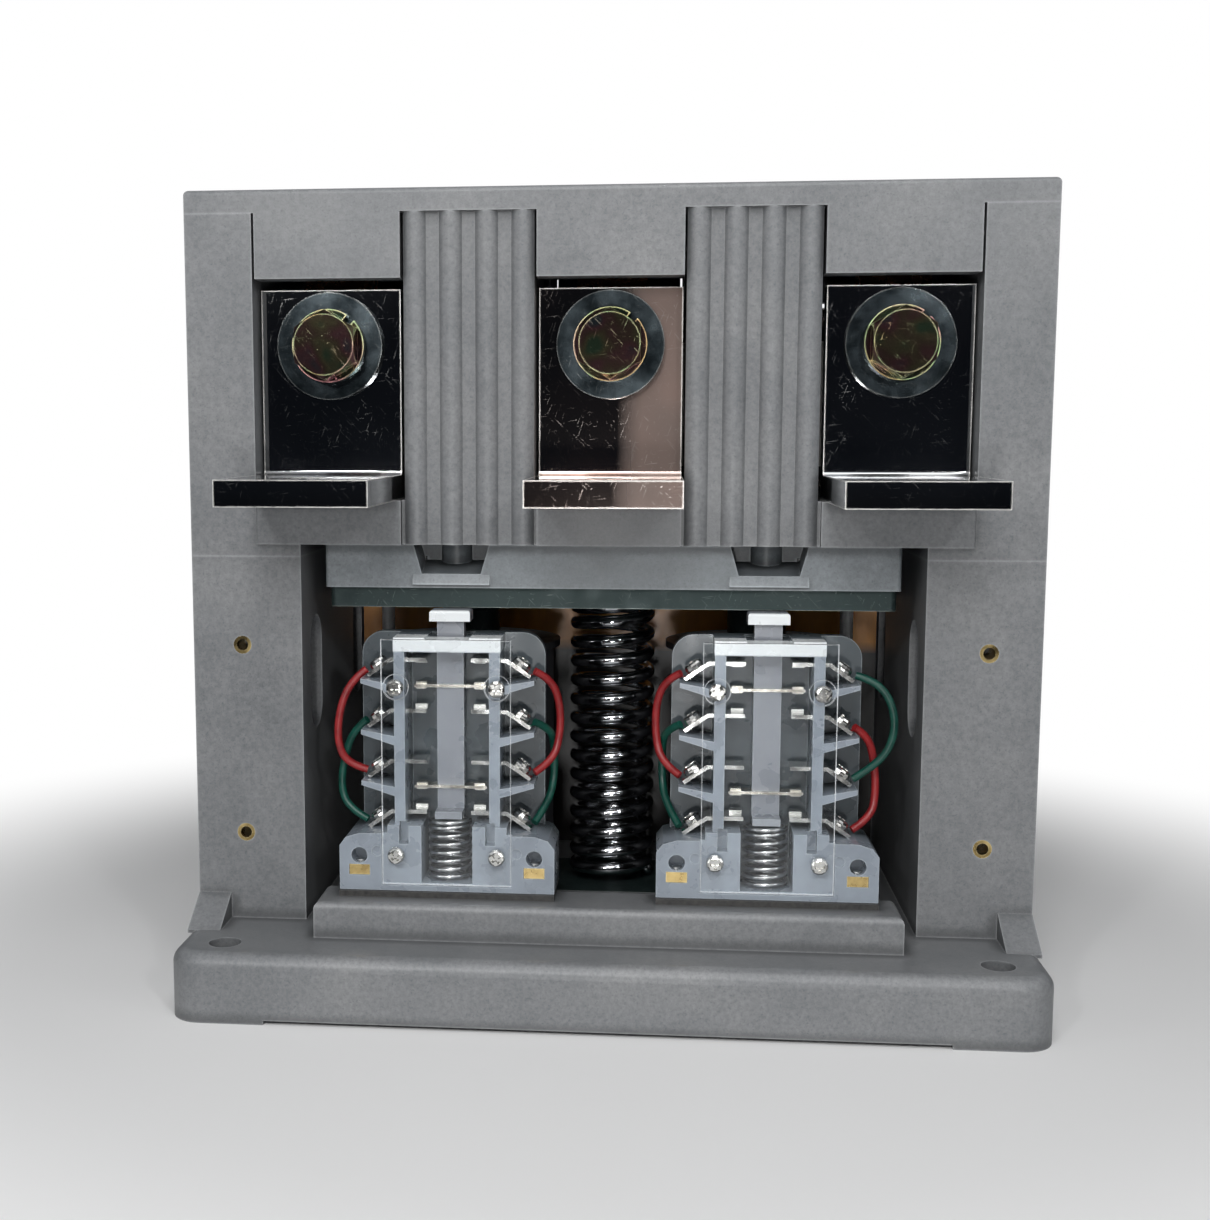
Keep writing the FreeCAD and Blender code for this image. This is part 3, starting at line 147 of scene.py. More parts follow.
def bump(tree, shader, height, distance, strength=1.0):
    node = add_node(tree, "ShaderNodeBump")
    node.inputs["Distance"].default_value = distance
    node.inputs["Strength"].default_value = strength
    tree.links.new(height, node.inputs["Height"])
    tree.links.new(node.outputs["Normal"], shader.inputs["Normal"])


def effect_group(name, numbers):
    """An empty node group with the given number inputs and one mask as its output."""
    group = bpy.data.node_groups.new(name, "ShaderNodeTree")
    for label, value in numbers.items():
        socket = group.interface.new_socket(label, in_out="INPUT", socket_type="NodeSocketFloat")
        socket.default_value = value
    group.interface.new_socket("Mask", in_out="OUTPUT", socket_type="NodeSocketFloat")
    return group, group.nodes.new("NodeGroupInput"), group.nodes.new("NodeGroupOutput")


def edge_group():
    """Mask that is 1 along edges within Width of them, broken up a little by noise; it paints edges paler,
    partly as rubbed wear and partly as painted highlight.
    """
    group, given, result = effect_group("edge_wear_and_highlight", {"Width": 0.0006, "Gain": 6.0})
    rounded = group.nodes.new("ShaderNodeBevel")
    rounded.samples = 6
    group.links.new(given.outputs["Width"], rounded.inputs["Radius"])
    geometry = group.nodes.new("ShaderNodeNewGeometry")
    dot = add_node(group, "ShaderNodeVectorMath", operation="DOT_PRODUCT")
    group.links.new(rounded.outputs["Normal"], dot.inputs[0])
    group.links.new(geometry.outputs["Normal"], dot.inputs[1])
    turned = reckon(group, "SUBTRACT", 1.0, dot.outputs["Value"])
    gained = reckon(group, "MULTIPLY", turned, given.outputs["Gain"])
    broken = remap(group, noise(group, 420.0, 3.0), 0.3, 0.6, 0.45, 1.0)
    mask = add_node(group, "ShaderNodeMath", operation="MULTIPLY", use_clamp=True)
    group.links.new(gained, mask.inputs[0])
    group.links.new(broken, mask.inputs[1])
    group.links.new(mask.outputs[0], result.inputs["Mask"])
    return group


def hair_group():
    """Mask of short hair scratches in three directions and a few specks."""
    group, given, result = effect_group("hair_scratches", {"Amount": 1.0})
    total = None
    for turn, low in ((0.35, 0.70), (-0.75, 0.70), (1.45, 0.70)):
        hairs = noise(group, 3600.0, 1.5, 0.5, (1.0, 1.0, 20.0), (0.0, turn, 0.0))
        near = remap(group, hairs, low, low + 0.03, 0.0, 1.0)
        total = near if total is None else reckon(group, "MAXIMUM", total, near)
    specks = remap(group, noise(group, 1500.0, 1.0), 0.73, 0.76, 0.0, 1.0)
    total = reckon(group, "MAXIMUM", total, specks)
    patches = remap(group, noise(group, 90.0, 3.0), 0.40, 0.62, 0.15, 1.0)
    total = reckon(group, "MULTIPLY", total, patches)
    group.links.new(reckon(group, "MULTIPLY", total, given.outputs["Amount"]), result.inputs["Mask"])
    return group


# Painted highlight: this mask pales edges as if light caught them, together with rubbed wear.
edge_wear_and_highlight = edge_group()
hair_scratches = hair_group()


def mask_of(tree, group, **numbers):
    node = add_node(tree, "ShaderNodeGroup", node_tree=group)
    for name, value in numbers.items():
        node.inputs[name].default_value = value
    return node.outputs["Mask"]


def moulding(name, dark, middle, light):
    material, tree, shader = new_material(name, middle, 0.5)
    cloud = noise(tree, 34.0, 3.0, 0.6)
    grain = noise(tree, 760.0, 5.0, 0.75)
    specks = noise(tree, 1700.0, 2.0, 0.5)
    base = ramp(tree, cloud, [(0.30, dark), (0.5, middle), (0.70, light)])
    flecks = ramp(tree, grain, [(0.34, (0.30, 0.31, 0.32)), (0.5, (0.5, 0.5, 0.5)),
                                (0.64, (0.66, 0.66, 0.65))])
    flecked = blend_colors(tree, 0.5, base, flecks, "OVERLAY")
    dusty = blend_colors(tree, remap(tree, specks, 0.60, 0.72, 0.0, 0.35), flecked, (0.05, 0.06, 0.07))
    # Painted shade: ambient occlusion darkens grooves, ribs and recesses where shade falls.
    occlusion_shade = add_node(tree, "ShaderNodeAmbientOcclusion", samples=6)
    occlusion_shade.inputs["Distance"].default_value = 0.004
    painted_groove_shade = remap(tree, occlusion_shade.outputs["AO"], 0.78, 0.99, 0.6, 0.0)
    shaded = blend_colors(tree, painted_groove_shade, dusty, tuple(0.35 * channel for channel in dark))
    # Painted highlight: edges are mixed towards a paler colour, partly rubbed wear and partly light catching
    # them.
    edge = mask_of(tree, edge_wear_and_highlight, Width=0.0011, Gain=3.0)
    pale = tuple(1.9 * channel for channel in light)
    colored = blend_colors(tree, reckon(tree, "MULTIPLY", edge, 0.7), shaded, pale)
    tree.links.new(colored, shader.inputs["Base Color"])
    tree.links.new(remap(tree, grain, 0.3, 0.7, 0.34, 0.50), shader.inputs["Roughness"])
    bump(tree, shader, grain, 0.00005, 0.3)
    return material


def paint(material, *names):
    for name in names:
        for slot in nodes[name].material_slots:
            slot.material = material


paint(moulding("grey_moulding", (0.134, 0.140, 0.146), (0.158, 0.163, 0.169), (0.182, 0.186, 0.190)),
      "base_frame", "upper_housing", "top_cover")


# Crosshead
# The beam, posts and bar are pressed from the same compound, a shade darker, and slide as one piece.
paint(moulding("beam_moulding", (0.135, 0.152, 0.162), (0.165, 0.182, 0.194), (0.200, 0.216, 0.226)),
      "crosshead_beam", "crosshead_posts", "upper_crossbar")


# Terminals
# Bent copper strip with polished nickel plating, mirror bright, its edges painted pale, partly as wear and
# partly as painted highlight.
# Handling has left hair scratches and specks, most of them near the edges.
def along(tree, axis, low, high):
    """0 below low and 1 above high along one object axis."""
    place = add_node(tree, "ShaderNodeTexCoord")
    split = add_node(tree, "ShaderNodeSeparateXYZ")
    tree.links.new(place.outputs["Object"], split.inputs[0])
    return remap(tree, split.outputs[axis], low, high, 0.0, 1.0)


def polished_plating(name, cool, warm, stain):
    """Nickel plating; stain is how far its right half has turned brown."""
    material, tree, shader = new_material(name, cool, 0.08, 1.0)
    drift = noise(tree, 26.0, 2.0)
    base = ramp(tree, drift, [(0.38, cool), (0.62, warm)])
    hairs = mask_of(tree, hair_scratches, Amount=0.35)
    # Painted highlight: edges are painted bright together with the real hair scratches.
    edge = mask_of(tree, edge_wear_and_highlight, Width=0.0008, Gain=8.0)
    wear_and_edge_highlight = reckon(tree, "MAXIMUM", hairs, edge)
    film = reckon(tree, "MULTIPLY", along(tree, "X", 0.002, 0.009), stain)
    browned = blend_colors(tree, film, base, (0.13, 0.070, 0.055))
    tree.links.new(reckon(tree, "SUBTRACT", 1.0, film), shader.inputs["Metallic"])
    tree.links.new(blend_colors(tree, wear_and_edge_highlight, browned, (0.92, 0.90, 0.86)), shader.inputs["Base Color"])
    tree.links.new(remap(tree, wear_and_edge_highlight, 0.0, 1.0, 0.06, 0.45), shader.inputs["Roughness"])
    bump(tree, shader, noise(tree, 55.0, 3.0), 0.0003, 0.06)
    return material


nickel = polished_plating("polished_nickel", (0.36, 0.37, 0.38), (0.50, 0.50, 0.50), 0.0)
warm_nickel = polished_plating("warm_polished_nickel", (0.42, 0.38, 0.35), (0.66, 0.50, 0.44), 0.45)
for side in ("front", "rear"):
    paint(nickel, f"{side}_terminal_left", f"{side}_terminal_right")
    paint(warm_nickel, f"{side}_terminal_middle")


# Terminal bolts and washers
# Hexagon bolts and split washers with yellow passivated zinc that shimmers pink and green.
# The flat washers are darker, with a bright rim painted on as a painted highlight.
def yellow_zinc():
    material, tree, shader = new_material("yellow_zinc", (0.62, 0.52, 0.28), 0.24, 1.0)
    drift = noise(tree, 130.0, 1.5, 0.4)
    tint = ramp(tree, drift, [(0.30, (0.12, 0.20, 0.12)), (0.42, (0.26, 0.23, 0.13)),
                              (0.52, (0.22, 0.15, 0.11)), (0.62, (0.28, 0.13, 0.14)),
                              (0.74, (0.12, 0.15, 0.17))])
    edge = mask_of(tree, edge_wear_and_highlight, Width=0.0008, Gain=6.0)
    hairs = mask_of(tree, hair_scratches, Amount=0.5)
    wear_and_edge_highlight = reckon(tree, "MAXIMUM", edge, hairs)
    # Painted highlight: worn edges and scratches are mixed towards bright pink, yellow and green, part wear
    # and part painted sheen on the chamfers.
    rim_wear_and_sheen = ramp(tree, noise(tree, 75.0, 1.0, 0.4), [(0.34, (0.98, 0.50, 0.50)), (0.48, (0.98, 0.86, 0.52)),
                                                   (0.58, (0.62, 0.86, 0.45)), (0.68, (0.98, 0.72, 0.35))])
    tree.links.new(blend_colors(tree, wear_and_edge_highlight, tint, rim_wear_and_sheen), shader.inputs["Base Color"])
    tree.links.new(remap(tree, wear_and_edge_highlight, 0.0, 1.0, 0.14, 0.45), shader.inputs["Roughness"])
    bump(tree, shader, noise(tree, 300.0, 2.0), 0.00008, 0.10)
    return material


def worn_metal(name, dark, light, roughness, bright=(0.85, 0.85, 0.82), scale=300.0, metallic=1.0,
               edge_width=0.0004):
    """Metal whose colour drifts from dark to light, with edges painted bright, partly as rubbed wear and
    partly as painted highlight, and faint scratches.
    """
    material, tree, shader = new_material(name, light, roughness, metallic)
    drift = noise(tree, scale, 4.0)
    # Painted highlight: edges are mixed towards the bright colour, together with real wear.
    edge = mask_of(tree, edge_wear_and_highlight, Width=edge_width, Gain=5.0)
    hairs = mask_of(tree, hair_scratches, Amount=0.35)
    wear_and_edge_highlight = reckon(tree, "MAXIMUM", edge, hairs)
    base = ramp(tree, drift, [(0.3, dark), (0.7, light)])
    tree.links.new(blend_colors(tree, wear_and_edge_highlight, base, bright), shader.inputs["Base Color"])
    gloss = remap(tree, drift, 0.3, 0.7, roughness * 0.75, roughness * 1.3)
    tree.links.new(gloss, shader.inputs["Roughness"])
    bump(tree, shader, noise(tree, scale * 5, 2.0), 0.00004, 0.3)
    return material


paint(yellow_zinc(), "terminal_bolts", "terminal_spring_washers")
dark_zinc = worn_metal("dark_zinc", (0.045, 0.060, 0.068), (0.085, 0.105, 0.115), 0.22,
                       (0.62, 0.64, 0.62), 120.0, 1.0, 0.0006)
paint(dark_zinc, "terminal_flat_washers")


# Conductors and interrupters
# Bare copper straps, leaves and contacts, and white glazed ceramic tubes closed by turned steel caps.
paint(worn_metal("bare_copper", (0.55, 0.26, 0.15), (0.80, 0.42, 0.26), 0.25, (0.95, 0.62, 0.45)),
      "flexible_connectors", "fixed_straps", "fixed_contacts",
      *[f"moving_contact_{pole}" for pole in ("left", "middle", "right")])
paint(worn_metal("turned_stainless", (0.50, 0.50, 0.49), (0.70, 0.70, 0.68), 0.22),
      "interrupter_end_caps", "bellows")
# Painted highlight: the guide rods are painted near white so they look bright though they sit in the shade of
# the beam.
painted_bright_rod = worn_metal("painted_bright_rod", (0.85, 0.85, 0.85), (0.95, 0.95, 0.95), 0.35,
                        (0.95, 0.95, 0.95), 300.0, 0.15)
paint(painted_bright_rod, "guide_rods")


def plain_surface(name, dark, light, roughness, scale):
    """Non-metal whose colour and gloss drift, with edges painted a little paler, partly as rubbed wear and
    partly as painted highlight.
    """
    material, tree, shader = new_material(name, light, roughness)
    drift = noise(tree, scale, 4.0)
    # Painted highlight: edges are mixed towards a paler colour, together with rubbed wear.
    edge = mask_of(tree, edge_wear_and_highlight, Width=0.0005, Gain=3.0)
    base = ramp(tree, drift, [(0.3, dark), (0.7, light)])
    pale = tuple(min(1.0, 1.6 * channel + 0.01) for channel in light)
    paled_edges = blend_colors(tree, reckon(tree, "MULTIPLY", edge, 0.6), base, pale)
    tree.links.new(paled_edges, shader.inputs["Base Color"])
    gloss = remap(tree, drift, 0.3, 0.7, roughness * 0.8, roughness * 1.25)
    tree.links.new(gloss, shader.inputs["Roughness"])
    bump(tree, shader, noise(tree, scale * 6, 2.0), 0.00004, 0.3)
    return material


paint(plain_surface("white_ceramic", (0.62, 0.60, 0.56), (0.74, 0.73, 0.70), 0.22, 60.0), "interrupter_tubes")


# Springs
# Wound from round spring steel wire, oiled and nearly black, with the last turn at each end closed.
# The opening spring pushes the crosshead up, and the others close the contacts and lift the plungers.
mm = 0.001
closed_pitch = 1.02
wire_sides = 16
steps_per_turn = 40


def spring_mesh(coils):
    """Round wire wound by turning a ring of vertices; each coil is (wire, size, turns, low, high, x, y)."""
    mesh = bmesh.new()
    for wire, size, turns, low, high, x, y in coils:
        radius = (size - wire) / 2 * mm
        closed = wire * closed_pitch * mm
        pitch = ((high - low - wire) * mm - 2 * closed) / turns
        middle = Matrix.Translation((x * mm + radius, y * mm, (low + wire / 2) * mm))
        start = middle @ Matrix.Rotation(math.pi / 2, 4, "X")
        ring = bmesh.ops.create_circle(mesh, segments=wire_sides, radius=wire / 2 * mm, matrix=start,
                                       cap_ends=True)
        verts = ring["verts"]
        geometry = list({face for vert in verts for face in vert.link_faces})
        for rise, count in ((closed, 1), (pitch, turns), (closed, 1)):
            steps = steps_per_turn * count
            result = bmesh.ops.spin(mesh, geom=geometry, cent=(x * mm, y * mm, 0), axis=(0, 0, 1),
                                    dvec=(0, 0, rise / steps_per_turn), angle=2 * math.pi * count,
                                    steps=steps)
            geometry = [part for part in result["geom_last"] if isinstance(part, bmesh.types.BMFace)]
    bmesh.ops.recalc_face_normals(mesh, faces=mesh.faces)
    for face in mesh.faces:
        face.smooth = True
    return mesh


def add_piece(name, mesh, material, replaced, body="frame"):
    data = bpy.data.meshes.new(name)
    mesh.to_mesh(data)
    mesh.free()
    piece = bpy.data.objects.new(name, data)
    bpy.context.collection.objects.link(piece)
    data.materials.append(material)
    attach(piece, body)
    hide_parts(replaced)
    return piece


spring_steel = worn_metal("spring_steel", (0.34, 0.35, 0.37), (0.62, 0.63, 0.65), 0.13,
                          (0.8, 0.8, 0.8), 260.0)
opening_wire = 4.0
opening_coil = 26.5
opening_turns = 13
floor_top = 20.5
armature_bottom = 110.6
opening_mesh = spring_mesh([(opening_wire, opening_coil, opening_turns, floor_top, armature_bottom,
                             0.0, 0.0)])
opening = add_piece("opening_spring_wire", opening_mesh, spring_steel, "opening_spring")
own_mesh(opening)

pole_pitch = 79.3
contact_wire = 1.8
contact_coil = 13.0
contact_turns = 2
seat_low = 202.2
seat_high = 214.0
contact_mesh = spring_mesh([(contact_wire, contact_coil, contact_turns, seat_low, seat_high, x, 0.0)
                            for x in (-pole_pitch, 0.0, pole_pitch)])
contact = add_piece("contact_spring_wire", contact_mesh, spring_steel, "contact_springs")
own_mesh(contact)

switch_spacing = 89.7
return_wire = 1.1
return_coil = 12.8
return_turns = 6
sill_height = 33.2
foot_height = 51.0
spring_line = -51.0
bright_spring = worn_metal("bright_spring", (0.40, 0.40, 0.40), (0.66, 0.66, 0.66), 0.16)
return_mesh = spring_mesh([(return_wire, return_coil, return_turns, sill_height, foot_height,
                            sign * switch_spacing / 2, spring_line) for sign in (-1, 1)])
lifting = add_piece("return_spring_wire", return_mesh, bright_spring, "switch_return_springs")
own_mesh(lifting)


# Magnet and rear board
# Yoke, cores and armature in dark passivated steel, black bobbins, taped coils, and a brown board behind.
dark_steel = worn_metal("dark_steel", (0.014, 0.026, 0.026), (0.030, 0.048, 0.047), 0.45,
                        (0.30, 0.34, 0.32), 120.0, 0.5)
paint(dark_steel, "magnet_yoke", "magnet_cores", "armature_plate")
paint(plain_surface("black_bobbin", (0.008, 0.008, 0.009), (0.02, 0.02, 0.022), 0.35, 200.0), "coil_bobbins")
paint(plain_surface("coil_tape", (0.010, 0.010, 0.012), (0.030, 0.030, 0.035), 0.55, 90.0), "coil_windings")


board_shade_top = 0.091


def board_material():
    """Orange-brown laminate, its lower part painted near black as a painted shadow for the shade below the
    coils.
    """
    material, tree, shader = new_material("phenolic_board", (0.46, 0.17, 0.035), 0.35)
    streaks = noise(tree, 70.0, 4.0, 0.55, (1.0, 1.0, 2.5))
    bare = ramp(tree, streaks, [(0.3, (0.42, 0.15, 0.012)), (0.7, (0.80, 0.33, 0.025))])
    # Painted shadow: below this height the board is near black where shade falls.
    unshaded_board = along(tree, "Z", board_shade_top - 0.004, board_shade_top)
    tree.links.new(blend_colors(tree, unshaded_board, (0.010, 0.007, 0.006), bare), shader.inputs["Base Color"])
    tree.links.new(remap(tree, streaks, 0.3, 0.7, 0.28, 0.44), shader.inputs["Roughness"])
    return material


paint(board_material(), "rear_board")


# Switch block bodies
# Milky polyamide that lets some light through; its thin edges are painted paler as a painted highlight, and
# it is painted darker towards the back as painted shade.
# The plungers are a whiter plastic, and each block stands on a dark insulating plate.
tint_front = -0.056
tint_back = -0.044
white_back = -0.050


def milky(name, rear_shade, dark, color, pale, white_from):
    """Plastic painted darker towards its back wall as painted shade, and white above a height."""
    material, tree, shader = new_material(name, color, 0.34)
    cloud = noise(tree, 120.0, 3.0)
    edge = mask_of(tree, edge_wear_and_highlight, Width=0.0005, Gain=4.0)
    base = ramp(tree, cloud, [(0.3, dark), (0.7, color)])
    # Painted shade: the colour darkens towards the back of the block, where shade falls inside the
    # compartment.
    rear_shaded = blend_colors(tree, along(tree, "Y", tint_front, tint_back), base, rear_shade)
    front = reckon(tree, "SUBTRACT", 1.0, along(tree, "Y", white_back, white_back + 0.0001))
    top = reckon(tree, "MULTIPLY", along(tree, "Z", white_from, white_from + 0.0005), front)
    whitened = blend_colors(tree, top, rear_shaded, (0.72, 0.75, 0.76))
    # Painted highlight: thin edges are mixed towards a paler colour, as if light shone through them.
    paled_edges = blend_colors(tree, reckon(tree, "MULTIPLY", edge, 0.6), whitened, pale)
    tree.links.new(paled_edges, shader.inputs["Base Color"])
    tree.links.new(remap(tree, cloud, 0.3, 0.7, 0.22, 0.38), shader.inputs["Roughness"])
    shader.inputs["Transmission Weight"].default_value = 0.12
    shader.inputs["IOR"].default_value = 1.45
    bump(tree, shader, noise(tree, 700.0, 2.0), 0.00004, 0.3)
    return material


milky_body = milky("milky_body", (0.070, 0.085, 0.095), (0.22, 0.25, 0.29), (0.28, 0.32, 0.37),
                   (0.62, 0.68, 0.72), 0.0992)
paint(milky_body, "switch_housing_left", "switch_housing_right")
milky_plunger = milky("milky_plunger", (0.22, 0.23, 0.26), (0.26, 0.28, 0.31), (0.31, 0.33, 0.36),
                      (0.60, 0.64, 0.68), 0.0990)
paint(milky_plunger, "switch_plunger_left", "switch_plunger_right")
dark_layers = plain_surface("dark_layers", (0.012, 0.012, 0.012), (0.045, 0.043, 0.040), 0.45, 900.0)
paint(dark_layers, "switch_base_plates")


# Clear covers
# Moulded polycarbonate plates over the moving contacts, with a faint smear and a few scratches.
# Light passes through to the pieces behind, so no dark shadow lies on them.
def clear_plastic():
    material, tree, shader = new_material("clear_cover", (0.96, 0.98, 0.99), 0.04)
    shader.inputs["Transmission Weight"].default_value = 1.0
    shader.inputs["IOR"].default_value = 1.45
    smear = remap(tree, noise(tree, 60.0, 4.0), 0.35, 0.75, 0.01, 0.07)
    hairs = mask_of(tree, hair_scratches, Amount=0.25)
    tree.links.new(reckon(tree, "MAXIMUM", smear, hairs), shader.inputs["Roughness"])
    # Painted highlight: edges turn to a pale diffuse shader so they show as bright lines.
    edge = mask_of(tree, edge_wear_and_highlight, Width=0.0004, Gain=5.0)
    painted_edge_highlight = add_node(tree, "ShaderNodeBsdfDiffuse")
    painted_edge_highlight.inputs["Color"].default_value = (0.85, 0.88, 0.90, 1.0)
    body = add_node(tree, "ShaderNodeMixShader")
    tree.links.new(reckon(tree, "MULTIPLY", edge, 0.8), body.inputs[0])
    tree.links.new(shader.outputs[0], body.inputs[1])
    tree.links.new(painted_edge_highlight.outputs[0], body.inputs[2])
    paths = add_node(tree, "ShaderNodeLightPath")
    passing = reckon(tree, "MAXIMUM", paths.outputs["Is Shadow Ray"], paths.outputs["Is Diffuse Ray"])
    open_light = add_node(tree, "ShaderNodeBsdfTransparent")
    mix = add_node(tree, "ShaderNodeMixShader")
    tree.links.new(passing, mix.inputs[0])
    tree.links.new(body.outputs[0], mix.inputs[1])
    tree.links.new(open_light.outputs[0], mix.inputs[2])
    tree.links.new(mix.outputs[0], tree.nodes["Material Output"].inputs["Surface"])
    return material


paint(clear_plastic(), "switch_cover_left", "switch_cover_right")


# Small screws
# Pan head screws in bright zinc with a cross recess, pressed by the header tool.
# Sixteen hold the wires on the sloped clamps, and eight hold the clear covers.
recess_arm = 0.085
recess_reach = 0.29
recess_depth = 0.45
recess_taper = 0.7
head_outline = ((0.36, 0.98), (0.44, 0.82), (0.49, 0.55), (0.50, 0.35), (0.50, 0.0))


def screw_head(diameter, height):
    """Head seated on z = 0 and facing up, its crossed recess pressed into the middle of the top."""
    mesh = bmesh.new()
    bmesh.ops.create_grid(mesh, x_segments=3, y_segments=3, size=1.0)
    arm = recess_arm * diameter
    reach = recess_reach * diameter
    for vert in mesh.verts:
        vert.co.x = math.copysign(arm if abs(vert.co.x) < 0.5 else reach, vert.co.x)
        vert.co.y = math.copysign(arm if abs(vert.co.y) < 0.5 else reach, vert.co.y)
        vert.co.z = height
    cross = [face for face in mesh.faces
             if min(abs(face.calc_center_median().x), abs(face.calc_center_median().y)) < arm]
    pressed = bmesh.ops.extrude_face_region(mesh, geom=cross)
    sunk = [part for part in pressed["geom"] if isinstance(part, bmesh.types.BMVert)]
    bmesh.ops.delete(mesh, geom=cross, context="FACES_ONLY")
    bmesh.ops.translate(mesh, verts=sunk, vec=(0, 0, -recess_depth * height))
    bmesh.ops.scale(mesh, verts=sunk, vec=(recess_taper, recess_taper, 1.0))
    rim_wear_and_sheen = [edge for edge in mesh.edges
           if edge.is_boundary and all(vert.co.z > 0.99 * height for vert in edge.verts)]
    for radius, z in head_outline:
        grown = bmesh.ops.extrude_edge_only(mesh, edges=rim_wear_and_sheen)
        verts = [part for part in grown["geom"] if isinstance(part, bmesh.types.BMVert)]
        rim_wear_and_sheen = [part for part in grown["geom"] if isinstance(part, bmesh.types.BMEdge)
               and all(vert in verts for vert in part.verts)]
        for vert in verts:
            flat = Vector((vert.co.x, vert.co.y, 0.0)).normalized() * radius * diameter
            vert.co = (flat.x, flat.y, z * height)
    bmesh.ops.contextual_create(mesh, geom=rim_wear_and_sheen)
    bmesh.ops.recalc_face_normals(mesh, faces=mesh.faces)
    data = bpy.data.meshes.new("screw_head")
    mesh.to_mesh(data)
    mesh.free()
    return data


def screws_at(head, places):
    """One mesh with the head at each place, given as (position, direction, turn of the cross)."""
    mesh = bmesh.new()
    for position, direction, turn in places:
        count = len(mesh.verts)
        mesh.from_mesh(head)
        mesh.verts.ensure_lookup_table()
        swing = Vector((0, 0, 1)).rotation_difference(Vector(direction)).to_matrix().to_4x4()
        place = Matrix.Translation(Vector(position) * mm) @ swing @ Matrix.Rotation(turn, 4, "Z")
        bmesh.ops.transform(mesh, matrix=place, verts=mesh.verts[count:])
    return mesh


bright_zinc = worn_metal("bright_zinc", (0.52, 0.52, 0.50), (0.76, 0.75, 0.72), 0.18)
row_levels = [96.0, 81.3333, 66.6667, 52.0]
clamp_start = 16.4
clamp_run = 6.5
clamp_drop = 4.6
clamp_thickness = 1.1
clamp_middle_y = -49.5
slope = math.atan2(clamp_drop, clamp_run)
clamp_places = []
for block_sign in (-1, 1):
    for side_sign in (-1, 1):
        for row, level in enumerate(row_levels):
            out = clamp_start + clamp_run / 2 + clamp_thickness * math.sin(slope)
            height = level - clamp_drop / 2 + clamp_thickness * math.cos(slope)
            clamp_places.append(((block_sign * switch_spacing / 2 + side_sign * out, clamp_middle_y, height),
                                 (side_sign * math.sin(slope), 0.0, math.cos(slope)),
                                 0.5 + 0.9 * row + 0.4 * side_sign))
clamp_head = 5.6
clamp_head_height = 2.0
clamp_heads = screws_at(screw_head(clamp_head * mm, clamp_head_height * mm), clamp_places)
add_piece("clamp_screw_heads", clamp_heads, bright_zinc, "switch_terminal_screws")

cover_face = -60.5
cover_screw_offset = 14.3
cover_screw_low = 41.4
cover_screw_high = 89.5
cover_head = 5.0
cover_head_height = 1.7
cover_places = [((block_sign * switch_spacing / 2 + side_sign * cover_screw_offset, cover_face, z),
                 (0.0, -1.0, 0.0), 0.3 + 0.5 * block_sign + 0.02 * z)
                for block_sign in (-1, 1) for side_sign in (-1, 1)
                for z in (cover_screw_low, cover_screw_high)]
cover_heads = screws_at(screw_head(cover_head * mm, cover_head_height * mm), cover_places)
add_piece("cover_screw_heads", cover_heads, bright_zinc, "switch_cover_screws")


# Small steel and brass pieces
# Bright zinc screws, studs and clamps, brass inserts and nuts, and bronze bridges with silver pads.
paint(bright_zinc, "cover_screws", "frame_bolts", "armature_screws", "switch_studs", "switch_terminals")
paint(worn_metal("brass", (0.42, 0.30, 0.12), (0.68, 0.52, 0.24), 0.3, (0.9, 0.75, 0.4)),
      "threaded_inserts", "switch_nuts")
paint(worn_metal("silver_bronze", (0.46, 0.42, 0.36), (0.68, 0.64, 0.56), 0.22),
      "switch_bridges_left", "switch_bridges_right")


# Jumper wires
# Thin stranded copper leads in red and green PVC, one from each upper switch clamp to a lower one.
# They bow out beside the blocks, limp enough to keep the curve they were pushed into.
wire_diameter = 2.2 * mm
wire_start = 24.2
wire_under_level = 2.9
outer_red = [(0.0, 0.0, 0.0), (4.8, -0.8, -3.6), (7.9, -2.0, -12.3), (8.4, -2.0, -21.3), (5.9, -0.6, -27.6)]
outer_green = [(0.0, 0.0, 0.0), (4.4, 1.6, -3.4), (7.4, 3.0, -11.9), (8.6, 3.0, -20.4), (6.0, 1.4, -26.6)]
inner_red = [(0.0, 0.0, 0.0), (4.4, 2.0, -2.4), (6.9, 5.5, -9.6), (7.0, 6.0, -19.3), (5.0, 3.0, -26.4)]
inner_green = [(0.0, 0.0, 0.0), (4.0, 3.5, -2.2), (5.0, 9.6, -7.9), (5.0, 11.0, -16.7), (4.1, 6.0, -23.9)]
wide_green = [(0.0, 0.0, 0.0), (5.2, -0.8, -1.2), (10.0, -1.4, -7.0), (11.2, -1.6, -15.8), (7.4, -1.6, -24.2)]
far_red = [(0.0, 0.0, 0.0), (4.2, 2.2, -2.8), (6.2, 4.2, -10.2), (7.0, 4.2, -19.4), (5.4, 1.8, -26.2)]
jumper_routes = {
    "red_jumper_left_outer": (-1, -1, 0, outer_red),
    "green_jumper_left_outer": (-1, -1, 1, outer_green),
    "red_jumper_left_inner": (-1, 1, 0, inner_red),
    "green_jumper_left_inner": (-1, 1, 1, inner_green),
    "red_jumper_right_inner": (1, -1, 0, inner_red),
    "green_jumper_right_inner": (1, -1, 1, inner_green),
    "red_jumper_right_outer": (1, 1, 1, far_red),
    "green_jumper_right_outer": (1, 1, 0, wide_green),
}


def jumper_points(block_sign, side_sign, row, route):
    """Points of a jumper, ending on the clamp two rows down."""
    middle = block_sign * switch_spacing / 2
    high = row_levels[row] - wire_under_level
    points = [(middle + side_sign * (wire_start + out), clamp_middle_y + back, high + rise)
              for out, back, rise in route]
    points.append((middle + side_sign * wire_start, clamp_middle_y, row_levels[row + 2] - wire_under_level))
    return [Vector(point) * mm for point in points]


